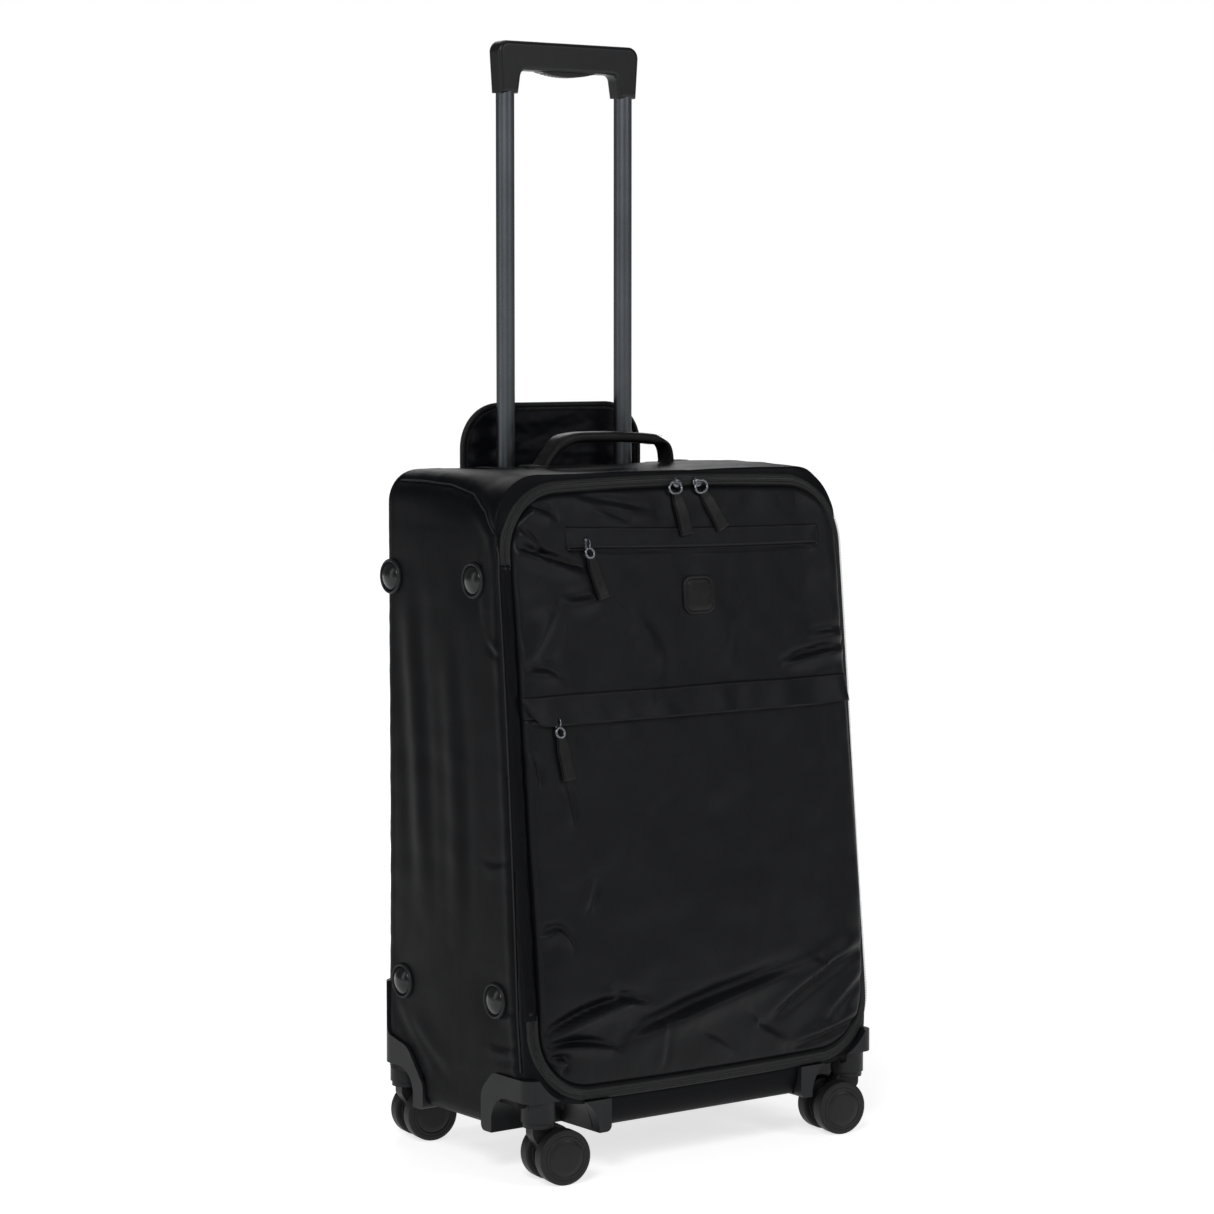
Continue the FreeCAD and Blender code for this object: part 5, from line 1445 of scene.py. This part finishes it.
def make_feet():
    """Four glossy domes on the left side, each in its raised ring."""
    reach = -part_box("side_feet")[0].x - HALF
    ring_profile = rounded([(17.0 * MM, -2.0 * MM), (17.0 * MM, 1.9 * MM), (15.6 * MM, 3.5 * MM),
                            (14.2 * MM, 3.0 * MM), (13.7 * MM, 0.9 * MM), (11.0 * MM, 0.6 * MM)],
                           1.2 * MM, 5)
    foot, wide = 1.6 * MM, 13.0 * MM
    dome = [(wide, 0.2 * MM)]
    for share in np.linspace(1.0, 0.002, 18):
        dome.append((wide * share, foot + (reach - 1.4 * MM - foot) * (1 - share ** 2.2)))
    nodes = ("side_feet",)
    for index, (y, z) in enumerate(SIDE_FEET):
        place = turned_to((-1, 0, 0), (-HALF + 0.4 * MM, y, z))
        base = revolve(f"foot_ring_{index}", ring_profile, PLASTIC, place)
        finish_piece(base, "case", "moulded", *nodes)
        nodes = ()
        stud = revolve(f"foot_dome_{index}", dome, STUD, turned_to((-1, 0, 0), (-HALF, y, z)))
        finish_piece(stud, "case", "stud")


# ---------------------------------------------------------------- wheels

def make_wheels():
    """Each wheel: a rubber tyre, and a flat cap with a turned groove near its rim."""
    radius, half = 26 * MM, 7 * MM
    tyre = rounded([(19.5 * MM, -half + 0.4 * MM), (22 * MM, -half), (radius, -half + 0.6 * MM),
                    (radius, half - 0.6 * MM), (22 * MM, half), (19.5 * MM, half - 0.4 * MM)],
                   3.6 * MM, 6)
    groove = [(20.4, 6.2), (20.2, 7.05), (19.7, 7.35), (18.2, 7.45), (17.9, 7.0), (17.4, 7.0),
              (17.1, 7.5), (12.0, 7.7), (6.0, 7.8), (0.05, 7.82)]
    for name, joint in JOINTS.items():
        if not name.startswith("roll_"):
            continue
        body = joint["child"]
        low, high = (np.array(corner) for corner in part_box(body))
        middle = (low + high) / 2
        axis = np.array(joint["axis"], float)
        outward = axis if (middle - np.array(fork_middle(joint["parent"]))) @ axis > 0 else -axis
        place = turned_to(tuple(outward), tuple(middle))
        finish_piece(revolve(body + "_tyre", tyre, TYRE, place, 96), body, "tyre", body)
        for end, sign, steps in (("cap", 1, 96), ("inner", -0.98, 64)):
            disc = [(r * MM, h * MM * sign) for r, h in groove]
            finish_piece(revolve(f"{body}_{end}", disc, PLASTIC_DARK, place, steps), body,
                         "moulded")


def fork_middle(body):
    """A point on the middle line of a caster's fork, at the axle."""
    wheels = [joint["child"] for joint in JOINTS.values()
              if joint["parent"] == body and joint["name"].startswith("roll_")]
    corners = [np.array(corner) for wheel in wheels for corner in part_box(wheel)]
    return sum(corners) / len(corners)


# ---------------------------------------------------------------- the back: well and cover flap

def over_top(points, lift):
    """Points (x, y) laid over the case's top, which rounds down towards its back."""
    drop = np.maximum(points[:, 1] - (BACK - BACK_ROUND), 0)
    level = TOP - BACK_ROUND + np.sqrt(np.maximum(BACK_ROUND ** 2 - drop ** 2, 0))
    return np.stack([points[:, 0], points[:, 1], level + lift], 1)


def make_well_border():
    """The bound, zipped edge round the handle well."""
    low, high = WELL
    half = (high.x - low.x) / 2
    points, _ = ring(half, low.y, high.y, 12 * MM, 360)
    path = over_top(points, 0.3 * MM)
    edge = sweep("well_binding", path, oval(6.0 * MM, 2.4 * MM, 14, 2.6), TAPE, closed=True)
    finish_piece(edge, "case", "zip")
    outer, _ = ring(half + 4.6 * MM, low.y - 4.6 * MM, high.y + 3.0 * MM, 15 * MM, 360)
    line = resample(over_top(outer, 0.7 * MM), 1.6 * MM, True)
    tangent, side, out = frames_along(line, closed=True)
    verts, faces = capsule(0.8 * MM, 3.0 * MM, 1.3 * MM)
    front = [k for k in range(len(line)) if line[k, 1] < BACK - 12 * MM]
    places = [(line[k], tangent[k], side[k], out[k]) for k in front]
    finish_piece(copies("well_zip_coil", verts, faces, places, TEETH), "case", "zip")


def make_cover_flap():
    """The zipped flap that covers the handle well, folded back and standing up."""
    low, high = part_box("handle_cover_flap")
    half, corner, face = high.x, 0.042, low.y
    foot = low.z - 4 * MM
    columns = np.linspace(-1, 1, 150)
    heights = np.linspace(0, 1, 64)
    rows = []
    for share in heights:
        z = foot + (high.z - foot) * share
        over = max(z - (high.z - corner), 0)
        wide = half - corner + math.sqrt(max(corner ** 2 - over ** 2, 0))
        x = columns * wide
        rim = np.minimum(np.minimum(high.z - z, wide - np.abs(x)), 1.0)
        spots = np.stack([x, np.full_like(x, z), x * 0], 1)
        crumple = noise_at(spots * [0.22, 1.0, 1], 0.013, 61.0) * 2.6 * MM
        crumple += noise_at(spots * [0.6, 1, 1], 0.007, 63.0) * 0.8 * MM
        calm = smooth(np.maximum(rim, 0) / (14 * MM)) * smooth(share * 3)
        lean = 2.5 * MM * math.sin(math.pi * share)
        rows.append(np.stack([x, face + 1.2 * MM - (1.2 * MM + crumple) * calm + lean,
                              np.full_like(x, z)], 1))
    cloth = add_mesh("cover_flap_cloth", np.concatenate(rows),
                     grid_faces(len(heights), len(columns)), LINING, merge=0.02 * MM)
    thicken(cloth, 1.6 * MM, 0.0)
    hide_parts("handle_cover_flap")
    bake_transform(cloth)
    arch = [(-half, z) for z in np.linspace(foot + 2 * MM, high.z - corner, 14)]
    arch += [(-half + corner - corner * math.cos(angle),
              high.z - corner + corner * math.sin(angle))
             for angle in np.linspace(0, math.pi / 2, 18)[1:]]
    path = arch + [(-x, z) for x, z in arch[::-1]]
    line = resample([(x, face + 1.4 * MM, z) for x, z in path], 2 * MM)
    line = line[line[:, 2] > foot + 10 * MM]
    edge = sweep("cover_flap_binding", line, oval(4.6 * MM, 4.8 * MM, 12, 2.4), TAPE,
                 up=(0, -1, 0))
    finish_piece(edge, "cover_flap", "zip")
    shrink = np.stack([line[:, 0] * (1 - 4.6 * MM / half), line[:, 1] - 1.6 * MM,
                       high.z - (high.z - line[:, 2]) * 0.985 - 4.2 * MM], 1)
    coil = resample(shrink, 1.6 * MM)
    tangent, side, out = frames_along(coil, up=(0, -1, 0))
    verts, faces = capsule(0.8 * MM, 3.0 * MM, 1.3 * MM)
    places = [(coil[k], tangent[k], side[k], out[k]) for k in range(len(coil))]
    finish_piece(copies("cover_flap_coil", verts, faces, places, TEETH), "cover_flap", "zip")


# ---------------------------------------------------------------- CAD parts that keep their shape

CAD_FINISHES = {
    "corner_guard": PLASTIC, "caster_fork": PLASTIC, "caster_sockets": PLASTIC,
    "handle_well": PLASTIC_DARK, "base_frame": PLASTIC_DARK, "outer_tube": STEEL,
    "inner_tube": TUBE, "grip_front_shell": GRIP_PLASTIC, "grip_back_shell": GRIP_PLASTIC,
    "release_button": GRIP_PLASTIC, "grip_rivets": STEEL, "button_spring": STEEL,
    "release_yoke": STEEL, "lock_pins": STEEL, "back_lining": LINING, "upper_pocket": LINING,
}


def finish_cad_parts():
    """Give the CAD nodes that are still shown their materials, and the moulded ones an edge."""
    for name, piece in frame["nodes"].items():
        if piece.hide_render:
            continue
        found = next((m for start, m in CAD_FINISHES.items() if name.startswith(start)), PLASTIC)
        piece.data.materials.clear()
        piece.data.materials.append(found)
        if name.startswith(("corner_guard", "caster_fork", "grip_", "release_button")):
            edge = piece.modifiers.new("edges", "BEVEL")
            edge.width = (1.8 if name.startswith("corner_guard") else 0.7) * MM
            edge.segments = 3
            edge.limit_method = "ANGLE"
            edge.angle_limit = math.radians(35)


# ---------------------------------------------------------------- floor, light, camera

# name, place, width, height and power of each lamp; all aim at LIGHT_AIM
LIGHTS = [("key", (-2.4, -2.2, 2.6), 1.2, 1.2, 72), ("front", (1.4, -3.2, 2.2), 1.4, 1.4, 32),
          ("left_strip", (-2.6, 0.6, 1.2), 0.6, 1.8, 8), ("top", (0.3, 0.5, 3.2), 1.6, 1.6, 10),
          ("rear", (1.6, 3.0, 2.0), 1.8, 1.8, 22)]
LIGHT_AIM = (0, 0, 0.4)
FLOOR_REACH = 14.0
WORLD_LIT, WORLD_SEEN = 0.12, 1.0       # the surround's strength on the object, and as backdrop


def area_light(name, spot, wide, tall, power):
    """A soft rectangular lamp."""
    data = bpy.data.lights.new(name, "AREA")
    data.shape = "RECTANGLE"
    data.size, data.size_y = wide, tall
    data.energy = power
    lamp = bpy.data.objects.new(name, data)
    bpy.context.collection.objects.link(lamp)
    lamp.location = spot
    lamp.rotation_mode = "QUATERNION"
    lamp.rotation_quaternion = (Vector(LIGHT_AIM) - Vector(spot)).to_track_quat("-Z", "Y")


def make_stage():
    """A plain pale floor, a surround that is white to the camera and dim as light, and lamps."""
    corners = [(x * FLOOR_REACH, y * FLOOR_REACH, 0)
               for x, y in ((-1, -1), (1, -1), (1, 1), (-1, 1))]
    floor = add_mesh("floor", corners, [(0, 1, 2, 3)], floor_material())
    world = bpy.data.worlds.new("studio")
    bpy.context.scene.world = world
    world.use_nodes = True
    nodes, links = world.node_tree.nodes, world.node_tree.links
    ground = nodes["Background"]
    ground.inputs["Color"].default_value = (1, 1, 1, 1)
    seen = nodes.new("ShaderNodeLightPath")
    power = nodes.new("ShaderNodeMapRange")
    power.inputs["To Min"].default_value = WORLD_LIT
    power.inputs["To Max"].default_value = WORLD_SEEN
    links.new(seen.outputs["Is Camera Ray"], power.inputs["Value"])
    links.new(power.outputs["Result"], ground.inputs["Strength"])
    for light in LIGHTS:
        area_light(*light)


def floor_material():
    """Pale paint that glows more away from the object, so that it meets the white surround."""
    material, nodes, links, shader = material_base("floor_paint", (0.62, 0.62, 0.62), 0.8,
                                                   gloss=0.1)
    shader.inputs["Emission Color"].default_value = (1, 1, 1, 1)
    place = nodes.new("ShaderNodeTexCoord").outputs["Object"]
    away = nodes.new("ShaderNodeVectorMath")
    away.operation = "LENGTH"
    links.new(place, away.inputs[0])
    lift = nodes.new("ShaderNodeMapRange")
    for socket, value in (("From Min", 0.5), ("From Max", 1.6), ("To Min", 0.72), ("To Max", 1.0)):
        lift.inputs[socket].default_value = value
    links.new(away.outputs["Value"], lift.inputs["Value"])
    links.new(lift.outputs["Result"], shader.inputs["Emission Strength"])
    return material


def make_camera():
    """The camera, placed by fitting the case's edges to the photo."""
    data = bpy.data.cameras.new("camera")
    data.lens = 102.5
    data.sensor_width = 36.0
    data.clip_end = 100
    camera = bpy.data.objects.new("camera", data)
    bpy.context.collection.objects.link(camera)
    camera.location = (-1.995, -2.666, 0.785)
    camera.rotation_euler = (math.radians(90 - 4.61), 0, math.radians(-36.45))
    bpy.context.scene.camera = camera


# ---------------------------------------------------------------- the whole

make_camera()
make_stage()
LID_CLOTH = ClothPanel("lid_cloth", (-0.189, 0.012), (0.193, 0.555), 0.006,
                       [[(-0.1305, 0.500), (0.1675, 0.498)], [(-0.189, 0.3725), (0.193, 0.3725)],
                        [(-0.1305, 0.527), (0.1675, 0.521)]])
SIDE_CLOTH = ClothPanel("side_cloth", (-0.110, 0.085), (0.116, 0.636), 0.004,
                        [[(y - 0.012, z), (y, z + 0.012), (y + 0.012, z), (y, z - 0.012),
                          (y - 0.012, z)] for y, z in SIDE_FEET], 0.35 * MM)
make_case_skin()
make_case_piping()
make_zip()
make_hinge_strip()
make_lid_skin()
make_upper_welt()
make_storm_flap()
make_badge()
make_lid_lining()
make_zip_fittings()
make_top_handle()
make_side_handle()
make_tabs()
make_feet()
make_wheels()
make_well_border()
make_cover_flap()
finish_cad_parts()
bpy.context.scene.view_settings.view_transform = "Standard"
